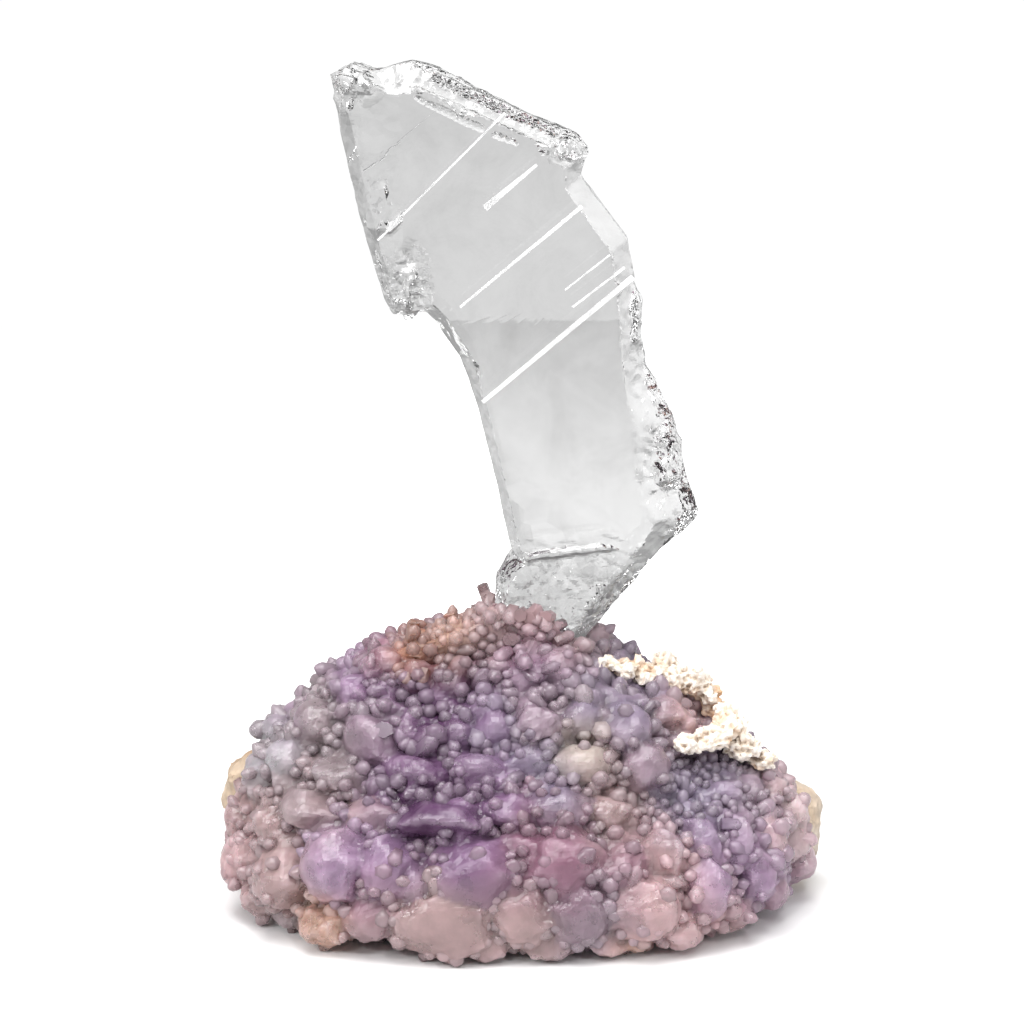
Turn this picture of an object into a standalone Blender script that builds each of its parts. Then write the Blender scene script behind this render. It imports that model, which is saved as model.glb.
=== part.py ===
"""A water-clear calcite blade standing on an amethyst cluster, with its host rock and chalky crusts.

Metres, +Z up, the photographed side towards -Y. The origin is the middle of the flat underside.
"""

import math
import random

import bmesh
import bpy
from mathutils import Matrix, Vector, noise

MM = 0.001

# Gap between two solids that touch, so that their meshes never share space
GAP = 0.3 * MM
# Rough lumps are grown by more for their cutters, as a fracture face moves out by less than its lump grows
CUT_MARGIN = 1.7 * GAP

# Distance at which the solvers' doubled corners are welded, and passes that clear their stray facets
WELD = 0.004 * MM
FLAP_ROUNDS = 3

BLADE_SEED = 2
ROCK_SEED = 3
CRUST_SEED = 5
CRYSTAL_SEED = 8

# Mound of amethyst under its crystals: half extents of the plan at each height, in millimetres
# (height, left, right, front, back)
MOUND_SECTIONS = [
    (1.5, 31.5, 29.0, 23.0, 16.5),
    (4.0, 34.6, 33.0, 24.0, 18.0),
    (8.0, 35.2, 34.4, 23.0, 18.0),
    (12.0, 34.6, 34.8, 20.5, 17.0),
    (17.0, 32.2, 30.0, 17.0, 15.5),
    (22.0, 29.2, 24.5, 13.5, 13.5),
    (27.0, 24.0, 19.0, 10.5, 11.0),
    (32.0, 16.0, 10.0, 8.0, 8.0),
    (35.5, 9.0, 6.4, 6.5, 6.0),
    (37.6, 3.5, 3.0, 4.5, 4.0),
]
MOUND_SEGMENTS = 24
MOUND_RINGS = 11
MOUND_ROUGHNESS = 1.1 * MM
GROWTH_CENTRE = Vector((0.0, 2.0, 9.0)) * MM

# The amethyst drapes over the rock, and its lowest crystals stop just above the surface
CLUSTER_FLOOR = 0.8 * MM

# Outline of the calcite blade from the front, in millimetres, clockwise from its top left corner:
# (x, z, how far the front face's edge lies inside the outline)
BLADE_OUTLINE = [
    (-21.5, 99.6, 1.6),
    (-19.3, 101.2, 2.4),
    (-16.6, 100.3, 3.2),
    (-12.2, 101.4, 4.0),
    (-9.1, 100.6, 4.8),
    (-3.6, 97.6, 5.2),
    (0.5, 95.6, 5.2),
    (6.2, 93.3, 4.6),
    (8.2, 91.2, 3.4),
    (7.3, 88.2, 2.4),
    (11.5, 82.7, 2.6),
    (12.9, 80.8, 2.6),
    (14.1, 73.3, 2.8),
    (15.2, 65.9, 3.2),
    (18.3, 59.8, 4.4),
    (20.3, 52.0, 5.4),
    (21.8, 47.8, 5.6),
    (17.0, 43.6, 3.0),
    (12.0, 37.5, 2.6),
    (8.4, 33.0, 2.2),
    (6.0, 31.0, 1.6),
    (-2.8, 34.0, 1.6),
    (-2.6, 40.0, 1.6),
    (-0.7, 43.2, 1.6),
    (-2.8, 53.0, 1.3),
    (-4.8, 61.3, 1.3),
    (-6.7, 66.8, 1.6),
    (-9.9, 71.4, 1.8),
    (-10.8, 72.4, 1.6),
    (-14.8, 71.8, 1.6),
    (-15.6, 73.5, 1.6),
    (-18.4, 83.3, 1.6),
    (-20.6, 93.6, 1.6),
]
# Middle line of the blade, towards which its faces are drawn in: (x, z) from foot to tip, in millimetres
BLADE_SPINE = [
    (4.0, 34.0),
    (8.0, 46.0),
    (7.5, 56.0),
    (4.0, 68.0),
    (-3.0, 80.0),
    (-9.0, 89.0),
    (-13.0, 95.0),
]
BLADE_THICKNESS = 9.0 * MM
BLADE_MIDDLE_Y = 0.5 * MM
# Where the outline's full width lies between the front face (0) and the back face (1)
BLADE_RIM_SHARES = (0.34, 0.72)
BLADE_BACK_INSET = 0.6

# Twin seams that cross the front face as narrow raised ridges: (x, z) ends and width, in millimetres
BLADE_SEAMS = [
    ((-4.0, 62.1), (12.0, 75.6), 1.3),
    ((-6.4, 73.5), (6.6, 84.3), 1.0),
    ((-15.0, 82.2), (-3.0, 93.9), 0.8),
    ((5.4, 72.6), (10.4, 76.6), 1.1),
]
SEAM_HEIGHT = 0.5 * MM

# Lumps on the blade: the chunk at its top left corner, the glassy bulge below it, the tab and two rough
# swellings of its right edge: (x, y, z, half width, half depth, half height), in millimetres
BLADE_LUMPS = [
    (-19.4, -1.4, 98.8, 2.2, 3.4, 2.2),
    (-15.9, -3.0, 84.6, 1.9, 1.9, 5.2),
    (-12.6, -2.6, 75.4, 2.4, 2.4, 4.4),
    (5.4, -1.2, 91.6, 2.4, 3.6, 1.8),
    (17.6, -1.0, 54.6, 2.2, 3.4, 5.4),
    (13.8, -0.6, 71.4, 1.0, 3.4, 4.4),
]
# Chips out of the blade's edges, in the same terms
BLADE_CHIPS = [
    (-17.4, -3.4, 102.4, 1.4, 3.6, 2.0),
    (-13.6, 3.6, 102.2, 2.4, 2.6, 1.8),
    (-3.0, 4.6, 98.6, 3.4, 2.2, 1.6),
    (9.2, -3.6, 90.0, 1.3, 2.6, 1.0),
    (14.4, -4.6, 77.0, 1.6, 2.4, 2.8),
    (15.6, -4.8, 66.8, 1.8, 2.6, 1.9),
    (16.2, 4.8, 69.6, 2.2, 2.2, 3.4),
    (20.0, -4.6, 58.0, 1.6, 2.6, 2.0),
    (21.8, 4.6, 52.6, 2.2, 2.0, 2.6),
    (20.6, -4.6, 46.2, 2.2, 2.2, 1.4),
    (-9.6, -4.8, 70.0, 1.5, 1.8, 1.8),
    (-6.0, 5.0, 64.0, 1.8, 1.8, 3.0),
    (14.6, -4.6, 40.6, 1.6, 2.0, 1.4),
]
BLADE_LUMP_CUTS = 3

# Fracture step across the front of the foot, and ledges along the top: (x, z) ends and width
FOOT_STEP = ((1.0, 43.4), (15.0, 45.2), 1.2)
TOP_LEDGES = [
    ((-12.0, 98.4), (3.4, 91.4), 1.1, 0.62),
    ((-9.6, 99.9), (4.6, 93.4), 0.9, 0.30),
]

# Large crystals of the front, as seen there: (x, z, half width, half height, reach above the skin,
# lean right, lean up), in millimetres except the two leans, which tip the crystal over as it grows
FRONT_CRYSTALS = [
    # lower skirt, left to right
    (-33.6, 6.6, 4.0, 3.6, 2.4, -0.5, 0.0),
    (-35.0, 2.6, 3.0, 2.4, 1.8, -0.6, -0.2),
    (-30.6, 3.6, 3.4, 2.6, 2.4, -0.4, -0.2),
    (-27.6, 7.6, 4.8, 4.4, 2.2, -0.3, 0.1),
    (-27.0, 2.2, 2.6, 2.2, 2.2, -0.4, -0.4),
    (-22.4, 3.2, 4.4, 3.0, 3.0, -0.1, -0.3),
    (-16.8, 5.0, 4.0, 3.4, 2.6, -0.1, -0.2),
    (-8.6, 4.4, 6.6, 4.4, 3.6, 0.0, -0.3),
    (-3.6, 1.8, 2.8, 1.8, 3.0, 0.1, -0.5),
    (0.2, 5.4, 4.4, 4.0, 2.6, 0.0, -0.2),
    (4.0, 2.2, 4.2, 2.0, 2.0, 0.0, -0.4),
    (7.4, 5.8, 4.4, 4.0, 2.8, 0.1, -0.2),
    (10.6, 2.0, 3.2, 1.8, 2.4, 0.1, -0.5),
    (14.0, 1.6, 2.2, 1.7, 3.4, 0.1, -0.6),
    (14.8, 6.2, 4.6, 4.2, 3.2, 0.3, -0.2),
    (19.4, 3.0, 4.2, 2.6, 3.0, 0.3, -0.4),
    (21.8, 7.4, 3.0, 4.6, 3.6, 0.5, -0.3),
    (25.0, 3.4, 3.2, 2.8, 3.0, 0.5, -0.5),
    (27.6, 7.6, 2.6, 4.0, 3.4, 0.7, -0.3),
    (30.4, 4.2, 2.6, 2.8, 2.8, 0.7, -0.4),
    # broad blocky crystals of the lower middle
    (-34.0, 11.4, 2.8, 2.8, 2.0, -0.5, 0.2),
    (-29.0, 12.6, 3.8, 2.8, 2.2, -0.3, 0.1),
    (-20.6, 10.4, 5.0, 5.0, 4.0, -0.1, 0.0),
    (-15.4, 10.6, 4.4, 4.4, 3.4, 0.0, -0.1),
    (-11.6, 8.8, 2.2, 2.8, 3.4, 0.1, -0.2),
    (-5.6, 10.6, 6.0, 4.4, 4.2, 0.0, 0.0),
    (0.4, 11.0, 3.0, 4.2, 2.2, 0.1, 0.0),
    (5.6, 11.2, 5.4, 4.2, 3.2, 0.1, 0.0),
    (11.4, 10.4, 4.4, 3.6, 2.4, 0.2, 0.0),
    (16.6, 11.0, 3.4, 4.0, 2.8, 0.4, -0.1),
    (21.2, 12.0, 2.2, 3.8, 3.2, 0.6, -0.3),
    (25.4, 11.4, 2.4, 4.2, 3.4, 0.8, -0.2),
    (29.6, 11.0, 2.4, 3.2, 2.8, 0.9, -0.1),
    (33.2, 8.6, 2.4, 2.8, 2.2, 0.9, 0.0),
    # left slope
    (-31.0, 16.4, 2.8, 2.6, 2.2, -0.5, 0.4),
    (-25.0, 15.4, 5.0, 2.6, 2.8, -0.4, 0.1),
    (-27.4, 19.6, 3.4, 3.0, 2.6, -0.5, 0.5),
    (-21.6, 19.4, 4.0, 2.6, 2.8, -0.2, 0.4),
    (-24.0, 23.8, 3.6, 3.2, 2.2, -0.4, 0.6),
    (-17.8, 23.2, 4.2, 3.0, 2.8, -0.1, 0.5),
    (-19.4, 27.4, 3.2, 2.4, 2.0, -0.3, 0.6),
    # deep violet shelf and the slabs round it
    (-16.6, 15.6, 4.4, 2.2, 3.0, -0.5, -0.1),
    (-9.4, 16.0, 6.4, 2.3, 4.4, -0.1, -0.3),
    (-12.4, 19.8, 4.6, 2.4, 3.0, -0.1, 0.2),
    (-4.8, 20.2, 4.4, 2.4, 2.4, 0.1, 0.3),
    (-0.8, 16.2, 4.0, 2.8, 3.0, 0.1, 0.0),
    (5.0, 16.6, 4.4, 3.0, 2.8, 0.2, 0.0),
    (1.8, 21.2, 3.4, 2.4, 2.2, 0.1, 0.3),
    (7.6, 20.8, 4.2, 2.8, 2.6, 0.2, 0.4),
    (10.8, 16.0, 3.4, 2.8, 2.2, 0.2, 0.1),
    # small crystals of the upper middle
    (-12.8, 24.4, 2.8, 2.4, 2.4, -0.1, 0.3),
    (-7.6, 24.0, 3.0, 2.2, 2.0, 0.0, 0.3),
    (-2.6, 24.8, 2.8, 2.4, 2.2, 0.0, 0.3),
    (2.6, 25.6, 3.4, 2.8, 3.0, 0.1, 0.4),
    (7.6, 25.6, 2.8, 2.4, 2.4, 0.3, 0.5),
    # tall clear crystals under the upper crust
    (12.6, 24.6, 3.4, 3.8, 3.4, 0.2, 0.7),
    (14.8, 20.4, 3.6, 3.4, 3.0, 0.4, 0.3),
    (18.0, 25.2, 3.4, 2.2, 2.4, 0.8, 0.2),
    # right shoulder
    (30.4, 15.4, 2.8, 2.6, 2.2, 0.8, 0.5),
    (33.4, 12.4, 2.6, 2.6, 2.2, 0.9, 0.3),
]

# Height of a crystal's sloping tip and depth of its root, as shares of its mean half size
TIP_SLOPE = 0.6
ROOT_DEPTH = 1.1
# How strongly the leans above bend a crystal from the direction straight out of the cluster
LEAN = 0.8

# Lumps of the ledge that juts from the upper left, of the saddle round the blade's foot and of the
# dark shoulder at the right: (x, y, z, half width, half depth, half height), in millimetres
DRUSE_LUMPS = [
    (-16.8, -4.4, 31.0, 3.2, 4.2, 2.4),
    (-12.0, -5.4, 32.4, 3.8, 4.4, 2.6),
    (-7.4, -5.4, 34.4, 3.6, 4.2, 3.0),
    (-2.6, -4.8, 36.6, 3.6, 3.8, 2.8),
    (2.4, -5.6, 35.8, 3.8, 3.4, 3.4),
    (6.8, -4.6, 32.6, 3.4, 4.0, 3.4),
    (1.6, -7.6, 31.0, 4.2, 3.8, 4.0),
    (-4.0, 3.6, 33.6, 4.0, 3.6, 2.6),
    (18.4, -12.4, 14.6, 4.2, 3.6, 3.4),
    (23.6, -9.6, 15.8, 4.6, 3.6, 3.6),
    (28.0, -6.6, 14.4, 4.0, 3.6, 3.0),
]

# Finer crystals that cover the rest: spacing, radius and reach above the skin, in millimetres
DRUSE_SPACING = 5.0
DRUSE_RADIUS = (2.9, 3.7)
DRUSE_REACH = (1.3, 2.0)
DRUSE_TRIES = 3000
LUMP_DRUSE_SHARE = 0.25
LUMP_CUTS = 4
FINE_SIDES = 5

# Host rock: a slab under the cluster, a broken back, and a knob that shows at each side
# (x, y, z, half width, half depth, half height), in millimetres
ROCK_LUMPS = [
    (0.0, 1.0, 1.5, 33.0, 19.0, 6.0),
    (-24.0, 6.0, 5.0, 11.0, 10.0, 11.5),
    (-31.8, 3.6, 12.6, 5.2, 5.4, 5.4),
    (24.0, 6.0, 4.0, 12.0, 10.0, 11.0),
    (33.4, 3.6, 7.8, 5.0, 6.6, 6.4),
    (-13.0, 13.0, 11.0, 13.0, 10.0, 14.5),
    (4.0, 14.5, 9.0, 14.0, 10.5, 14.0),
    (18.0, 12.0, 6.0, 12.0, 10.5, 13.0),
    (-3.0, 12.0, 18.0, 10.0, 8.0, 11.0),
]
ROCK_CUTS = 9
# How far from a lump's middle its fracture faces lie, as a share of its half size
FRACTURE_DEPTHS = (0.62, 0.9)

# Chalky crusts along the right-hand ridge: (x, y, z, half size) of each swelling, in millimetres
UPPER_CRUST_PATH = [
    (10.8, -4.0, 30.2, 1.5),
    (13.0, -3.6, 29.6, 1.7),
    (15.4, -2.8, 28.6, 2.1),
    (18.2, -2.0, 28.2, 2.6),
    (21.0, -1.2, 27.4, 2.5),
    (22.8, -1.0, 25.6, 2.0),
    (23.8, -1.4, 23.6, 1.6),
]
LOWER_CRUST_PATH = [
    (17.2, -12.2, 22.0, 1.4),
    (20.0, -10.8, 22.4, 1.7),
    (23.0, -9.0, 22.6, 2.1),
    (25.2, -6.8, 23.4, 2.4),
    (26.8, -6.6, 20.8, 2.3),
    (29.2, -6.0, 19.0, 1.8),
]
# No fine crystal stands nearer to a swelling than this, as a share of its half size
CRUST_CLEARANCE = 1.7
# Knobs that grow from each swelling of a crust, and their size beside the swelling's
CRUST_KNOBS = 1
KNOB_SIZES = (0.5, 0.75)


def clear_scene():
    for obj in list(bpy.data.objects):
        bpy.data.objects.remove(obj)


def new_collection(name):
    collection = bpy.data.collections.new(name)
    bpy.context.scene.collection.children.link(collection)
    return collection


def material(name, colour, roughness, transmission=0.0, ior=1.5):
    made = bpy.data.materials.new(name)
    made.use_nodes = True
    shader = made.node_tree.nodes["Principled BSDF"]
    shader.inputs["Base Color"].default_value = (*colour, 1.0)
    shader.inputs["Roughness"].default_value = roughness
    shader.inputs["Metallic"].default_value = 0.0
    shader.inputs["Transmission Weight"].default_value = transmission
    shader.inputs["IOR"].default_value = ior
    made.diffuse_color = (*colour, 1.0)
    return made


def object_from(name, shape, collection, finish=None):
    """Turns a bmesh into an object of that name and frees it."""
    bmesh.ops.recalc_face_normals(shape, faces=shape.faces)
    mesh = bpy.data.meshes.new(name)
    shape.to_mesh(mesh)
    shape.free()
    obj = bpy.data.objects.new(name, mesh)
    collection.objects.link(obj)
    if finish:
        mesh.materials.append(finish)
    return obj


def as_guide(obj):
    obj.hide_render = True
    obj.display_type = "WIRE"
    return obj


def join(obj, other):
    """Makes one body of an object and a mesh whose shells cross each other."""
    modifier = obj.modifiers.new("join", "BOOLEAN")
    modifier.operation = "UNION"
    modifier.solver = "EXACT"
    modifier.use_self = True
    modifier.object = other
    apply_all(obj)


def grow_together(obj, shapes):
    """Joins closed shapes to the object one by one. EXACT leaves open edges among so many small facets."""
    for shape in shapes:
        other = as_guide(object_from("grown", shape, obj.users_collection[0]))
        modifier = obj.modifiers.new("grow", "BOOLEAN")
        modifier.operation = "UNION"
        modifier.solver = "MANIFOLD"
        modifier.object = other
        bake(obj)
        bpy.data.objects.remove(other)


def cut(obj, *cutters):
    """Cuts closed shapes away, with the solver that copes with hundreds of small facets."""
    for cutter in cutters:
        modifier = obj.modifiers.new("cut", "BOOLEAN")
        modifier.operation = "DIFFERENCE"
        modifier.solver = "MANIFOLD"
        modifier.object = cutter
    apply_all(obj)


def bake(obj):
    """Replaces the object's mesh with what its modifiers make of it."""
    graph = bpy.context.evaluated_depsgraph_get()
    obj.data = bpy.data.meshes.new_from_object(obj.evaluated_get(graph))
    obj.modifiers.clear()


def apply_all(obj):
    """Applies the modifiers and drops loose chips."""
    bake(obj)
    keep_largest_body(obj.data)


def close_up(shape):
    """Removes the stray facets that a solver leaves standing on an edge, and fills any hole left."""
    for _ in range(FLAP_ROUNDS):
        flaps = []
        for face in shape.faces:
            counts = [len(edge.link_faces) for edge in face.edges]
            if min(counts) == 1 and max(counts) > 2:
                flaps.append(face)
        bmesh.ops.delete(shape, geom=flaps, context="FACES")
    open_edges = [edge for edge in shape.edges if edge.is_boundary]
    bmesh.ops.holes_fill(shape, edges=open_edges, sides=0)


def keep_largest_body(mesh):
    shape = bmesh.new()
    shape.from_mesh(mesh)
    bmesh.ops.remove_doubles(shape, verts=shape.verts, dist=WELD)
    bmesh.ops.dissolve_degenerate(shape, edges=shape.edges, dist=WELD)
    close_up(shape)
    bodies = []
    unseen = set(shape.verts)
    while unseen:
        reached = [unseen.pop()]
        body = set(reached)
        while reached:
            vertex = reached.pop()
            for edge in vertex.link_edges:
                other = edge.other_vert(vertex)
                if other in unseen:
                    unseen.discard(other)
                    body.add(other)
                    reached.append(other)
        bodies.append(body)
    bodies.sort(key=len)
    chips = [vertex for body in bodies[:-1] for vertex in body]
    bmesh.ops.delete(shape, geom=chips, context="VERTS")
    shape.to_mesh(mesh)
    shape.free()


def between(low, high, share):
    return low + (high - low) * share


def section_at(height_mm):
    """Left, right, front and back half extents of the mound at a height, in millimetres."""
    rows = MOUND_SECTIONS
    if height_mm <= rows[0][0]:
        return rows[0][1:]
    for low, high in zip(rows, rows[1:]):
        if height_mm <= high[0]:
            share = (height_mm - low[0]) / (high[0] - low[0])
            return tuple(between(a, b, share) for a, b in zip(low[1:], high[1:]))
    return rows[-1][1:]


def mound_point(angle, height_mm):
    """A point on the mound's skin, in metres. Angle 0 is the right side, and the front is at -90 degrees."""
    left, right, front, back = section_at(height_mm)
    across, along = math.cos(angle), math.sin(angle)
    x = across * (right if across > 0 else left)
    y = along * (back if along > 0 else front)
    return Vector((x, y, height_mm)) * MM


def mound_front(x_mm, height_mm):
    """The point of the mound's front skin at this x and height, in metres."""
    left, right, _, _ = section_at(height_mm)
    side = right if x_mm > 0 else left
    angle = -math.acos(max(-0.995, min(0.995, x_mm / side)))
    return mound_point(angle, height_mm)


def outward_at(point):
    """The direction in which crystals grow there: away from the cluster's own centre."""
    return (point - GROWTH_CENTRE).normalized()


def mound_shape():
    """The mass that the crystals grow from, a sphere drawn out to the mound's sections."""
    shape = bmesh.new()
    bmesh.ops.create_uvsphere(shape, u_segments=MOUND_SEGMENTS, v_segments=MOUND_RINGS, radius=1.0)
    lowest, highest = MOUND_SECTIONS[0][0], MOUND_SECTIONS[-1][0]
    for vertex in shape.verts:
        direction = vertex.co.normalized()
        share = math.acos(max(-1.0, min(1.0, -direction.z))) / math.pi
        share = (share - 1 / MOUND_RINGS) / (1 - 2 / MOUND_RINGS)
        height = between(lowest, highest, min(1.0, max(0.0, share)))
        ring = 0.0 if abs(direction.z) > 0.9999 else 1.0
        point = mound_point(math.atan2(direction.y, direction.x), height)
        vertex.co = Vector((point.x * ring, point.y * ring, point.z))
        push = noise.noise(point / MM * 0.16) + 0.5 * noise.noise(point / MM * 0.4)
        vertex.co += outward_at(vertex.co) * push * MOUND_ROUGHNESS * ring
    return shape


def random_direction(chance):
    return Vector((chance.gauss(0, 1), chance.gauss(0, 1), chance.gauss(0, 1))).normalized()


def add_lump(shape, centre, half_sizes, chance, cuts, depths=FRACTURE_DEPTHS, detail=2):
    """A rounded lump with flat fracture faces, sliced off by planes at random angles."""
    lump = bmesh.new()
    bmesh.ops.create_icosphere(lump, subdivisions=detail, radius=1.0)
    for _ in range(cuts):
        away = random_direction(chance)
        geometry = lump.verts[:] + lump.edges[:] + lump.faces[:]
        cut_here = away * chance.uniform(*depths)
        sliced = bmesh.ops.bisect_plane(
            lump, geom=geometry, plane_co=cut_here, plane_no=away, clear_outer=True
        )
        rim = [part for part in sliced["geom_cut"] if isinstance(part, bmesh.types.BMEdge)]
        bmesh.ops.holes_fill(lump, edges=rim, sides=0)
    size = Matrix.Diagonal(Vector((*half_sizes, 1.0)))
    bmesh.ops.transform(lump, matrix=Matrix.Translation(centre) @ size, verts=lump.verts)
    add_to(shape, lump)


def add_to(shape, other):
    """Puts a copy of another bmesh into the shape and frees it."""
    carrier = bpy.data.meshes.new("carrier")
    other.to_mesh(carrier)
    other.free()
    shape.from_mesh(carrier)
    bpy.data.meshes.remove(carrier)


def crystal(base, direction, half_sizes, reach, chance, sides=6):
    """A quartz point: a prism under sloping faces that meet off its middle, rooted under the skin."""
    shape = bmesh.new()
    across, up = half_sizes
    mean = (across + up) / 2
    tip = TIP_SLOPE * mean
    root = ROOT_DEPTH * mean
    shaft = max(0.15 * MM, reach - tip) + root
    made = bmesh.ops.create_cone(
        shape, cap_ends=True, segments=sides, radius1=1.0, radius2=0.96, depth=shaft
    )["verts"]
    top = max((f for v in made for f in v.link_faces), key=lambda f: f.calc_center_median().z)
    peak = bmesh.ops.poke(shape, faces=[top])["verts"]
    peak[0].co += Vector((chance.uniform(-0.4, 0.4), chance.uniform(-0.4, 0.2), tip))
    turn = direction.to_track_quat("Z", "Y").to_matrix().to_4x4()
    squash = Matrix.Diagonal(Vector((across, up, 1.0, 1.0)))
    spin = Matrix.Rotation(chance.uniform(0.0, math.tau), 4, "Z")
    roll = Matrix.Rotation(chance.uniform(-0.3, 0.3), 4, "Z")
    lift = Matrix.Translation(Vector((0.0, 0.0, shaft / 2 - root)))
    place = Matrix.Translation(base) @ turn @ lift @ roll @ squash @ spin
    bmesh.ops.transform(shape, matrix=place, verts=shape.verts)
    return shape


def fine_crystal(base, direction, radius, reach, chance):
    """A small point of which only the pyramid shows."""
    shape = bmesh.new()
    root = 0.5 * radius
    bmesh.ops.create_cone(
        shape, cap_ends=True, segments=FINE_SIDES, radius1=radius, radius2=0.0, depth=reach + root
    )
    turn = direction.to_track_quat("Z", "Y").to_matrix().to_4x4()
    squash = Matrix.Diagonal(Vector((1.0, chance.uniform(0.75, 1.0), 1.0, 1.0)))
    spin = Matrix.Rotation(chance.uniform(0.0, math.tau), 4, "Z")
    lift = Matrix.Translation(Vector((0.0, 0.0, (reach - root) / 2)))
    place = Matrix.Translation(base) @ turn @ lift @ squash @ spin
    bmesh.ops.transform(shape, matrix=place, verts=shape.verts)
    return shape


def rows_in_metres(row):
    return [value * MM for value in row]


def crystal_shapes(chance):
    """All the crystals, one mesh each, large ones first, with fine ones in the spaces left between them."""
    shapes = []
    taken = []
    for row in FRONT_CRYSTALS:
        x, z, across, up, reach, lean_right, lean_up = row
        base = mound_front(x, z)
        direction = (outward_at(base) + Vector((lean_right, 0.0, lean_up)) * LEAN).normalized()
        shapes.append(crystal(base, direction, (across * MM, up * MM), reach * MM, chance))
        taken.append((base, (across + up) / 2 * MM))
    for row in UPPER_CRUST_PATH + LOWER_CRUST_PATH:
        values = rows_in_metres(row)
        taken.append((Vector(values[:3]), CRUST_CLEARANCE * values[3]))
    for row in DRUSE_LUMPS:
        values = rows_in_metres(row)
        shape = bmesh.new()
        add_lump(shape, Vector(values[:3]), values[3:], chance, LUMP_CUTS, detail=1)
        shapes.append(shape)
    for base, direction in druse_places(chance, taken):
        radius = chance.uniform(*DRUSE_RADIUS) * MM
        shapes.append(fine_crystal(base, direction, radius, chance.uniform(*DRUSE_REACH) * MM, chance))
    return shapes


def point_on_lump(chance, values):
    """A random point of a lump's skin and the direction out of it, leaning to the photographed side."""
    away = (random_direction(chance) + Vector((0.0, -0.5, 0.2))).normalized()
    centre = Vector(values[:3])
    half_sizes = Vector(values[3:])
    point = centre + Vector(a * h for a, h in zip(away, half_sizes)) * 0.9
    return point, away


def druse_places(chance, taken):
    """Places for fine crystals, each clear of the large ones and of the others: (base, direction)."""
    lumps = [rows_in_metres(row) for row in DRUSE_LUMPS]
    places = []
    for _ in range(DRUSE_TRIES):
        if chance.random() < LUMP_DRUSE_SHARE:
            point, direction = point_on_lump(chance, chance.choice(lumps))
        else:
            height = between(2.0, MOUND_SECTIONS[-1][0], chance.random() ** 0.8)
            point = mound_point(chance.uniform(-math.pi, math.pi), height)
            direction = outward_at(point)
        near_large = any((point - base).length < radius * 0.95 for base, radius in taken)
        near_fine = any((point - base).length < DRUSE_SPACING * MM for base, _ in places)
        if not near_large and not near_fine:
            places.append((point, direction))
    return places


def towards_spine(point, distance):
    """The point moved in towards the blade's middle line."""
    nearest = None
    for start, end in zip(BLADE_SPINE, BLADE_SPINE[1:]):
        a, b = Vector(start), Vector(end)
        share = max(0.0, min(1.0, (point - a).dot(b - a) / (b - a).length_squared))
        spot = a + (b - a) * share
        if nearest is None or (point - spot).length < (point - nearest).length:
            nearest = spot
    reach = nearest - point
    return point + reach.normalized() * min(distance, reach.length * 0.8)


def blade_shape(grow=0.0):
    """The blade as a loft of four outlines: front face, two full-width rims, and back face."""
    front, back = BLADE_MIDDLE_Y - BLADE_THICKNESS / 2, BLADE_MIDDLE_Y + BLADE_THICKNESS / 2
    levels = [(front - grow, 1.0)]
    levels += [(between(front, back, share), 0.0) for share in BLADE_RIM_SHARES]
    levels += [(back + grow, BLADE_BACK_INSET)]
    shape = bmesh.new()
    rings = []
    for y, inset in levels:
        ring = []
        for x, z, bevel in BLADE_OUTLINE:
            flat = towards_spine(Vector((x, z)), bevel * inset - grow / MM)
            ring.append(shape.verts.new(Vector((flat.x * MM, y, flat.y * MM))))
        rings.append(ring)
    count = len(BLADE_OUTLINE)
    for near, far in zip(rings, rings[1:]):
        for i in range(count):
            j = (i + 1) % count
            shape.faces.new((near[i], near[j], far[j], far[i]))
    shape.faces.new(rings[0])
    shape.faces.new(rings[-1])
    bmesh.ops.triangulate(shape, faces=shape.faces)
    return shape


def add_bar(shape, start, end, width, middle_y, height, low=0.35):
    """A straight bar of roof-shaped section across the blade's front, from start to end (x, z)."""
    a = Vector((start[0], 0.0, start[1])) * MM
    b = Vector((end[0], 0.0, end[1])) * MM
    made = bmesh.ops.create_cube(shape, size=1.0)["verts"]
    length = (b - a).length
    for vertex in made:
        roof = low if vertex.co.y < 0 else 1.0
        across = vertex.co.z * width * MM * roof
        vertex.co = Vector((vertex.co.x * length, vertex.co.y * 2 * height, across))
    turn = (b - a).to_track_quat("X", "Z").to_matrix().to_4x4()
    middle = (a + b) / 2
    place = Matrix.Translation(Vector((middle.x, middle_y, middle.z))) @ turn
    bmesh.ops.transform(shape, matrix=place, verts=made)


def seam_shapes():
    """The narrow ridges and ledges on the blade's front, all in one mesh."""
    shape = bmesh.new()
    front = BLADE_MIDDLE_Y - BLADE_THICKNESS / 2
    for start, end, width in BLADE_SEAMS:
        add_bar(shape, start, end, width, front, SEAM_HEIGHT)
    start, end, width = FOOT_STEP
    add_bar(shape, start, end, width, front, 1.4 * SEAM_HEIGHT)
    rim = front + BLADE_THICKNESS * BLADE_RIM_SHARES[0]
    for start, end, width, share in TOP_LEDGES:
        add_bar(shape, start, end, width, between(front, rim, 1 - share), 2.6 * SEAM_HEIGHT, low=0.7)
    return shape


def lumps_from(rows, seed, cuts):
    """One mesh of lumps, from rows of place and half sizes."""
    chance = random.Random(seed)
    shape = bmesh.new()
    for row in rows:
        values = rows_in_metres(row)
        add_lump(shape, Vector(values[:3]), values[3:], chance, cuts, detail=1)
    return shape


def rock_lumps(grow=0.0):
    """The lumps of host rock, one mesh each."""
    chance = random.Random(ROCK_SEED)
    lumps = []
    for row in ROCK_LUMPS:
        values = rows_in_metres(row)
        shape = bmesh.new()
        half_sizes = [value + grow for value in values[3:]]
        add_lump(shape, Vector(values[:3]), half_sizes, chance, ROCK_CUTS, detail=1)
        lumps.append(shape)
    return lumps


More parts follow.
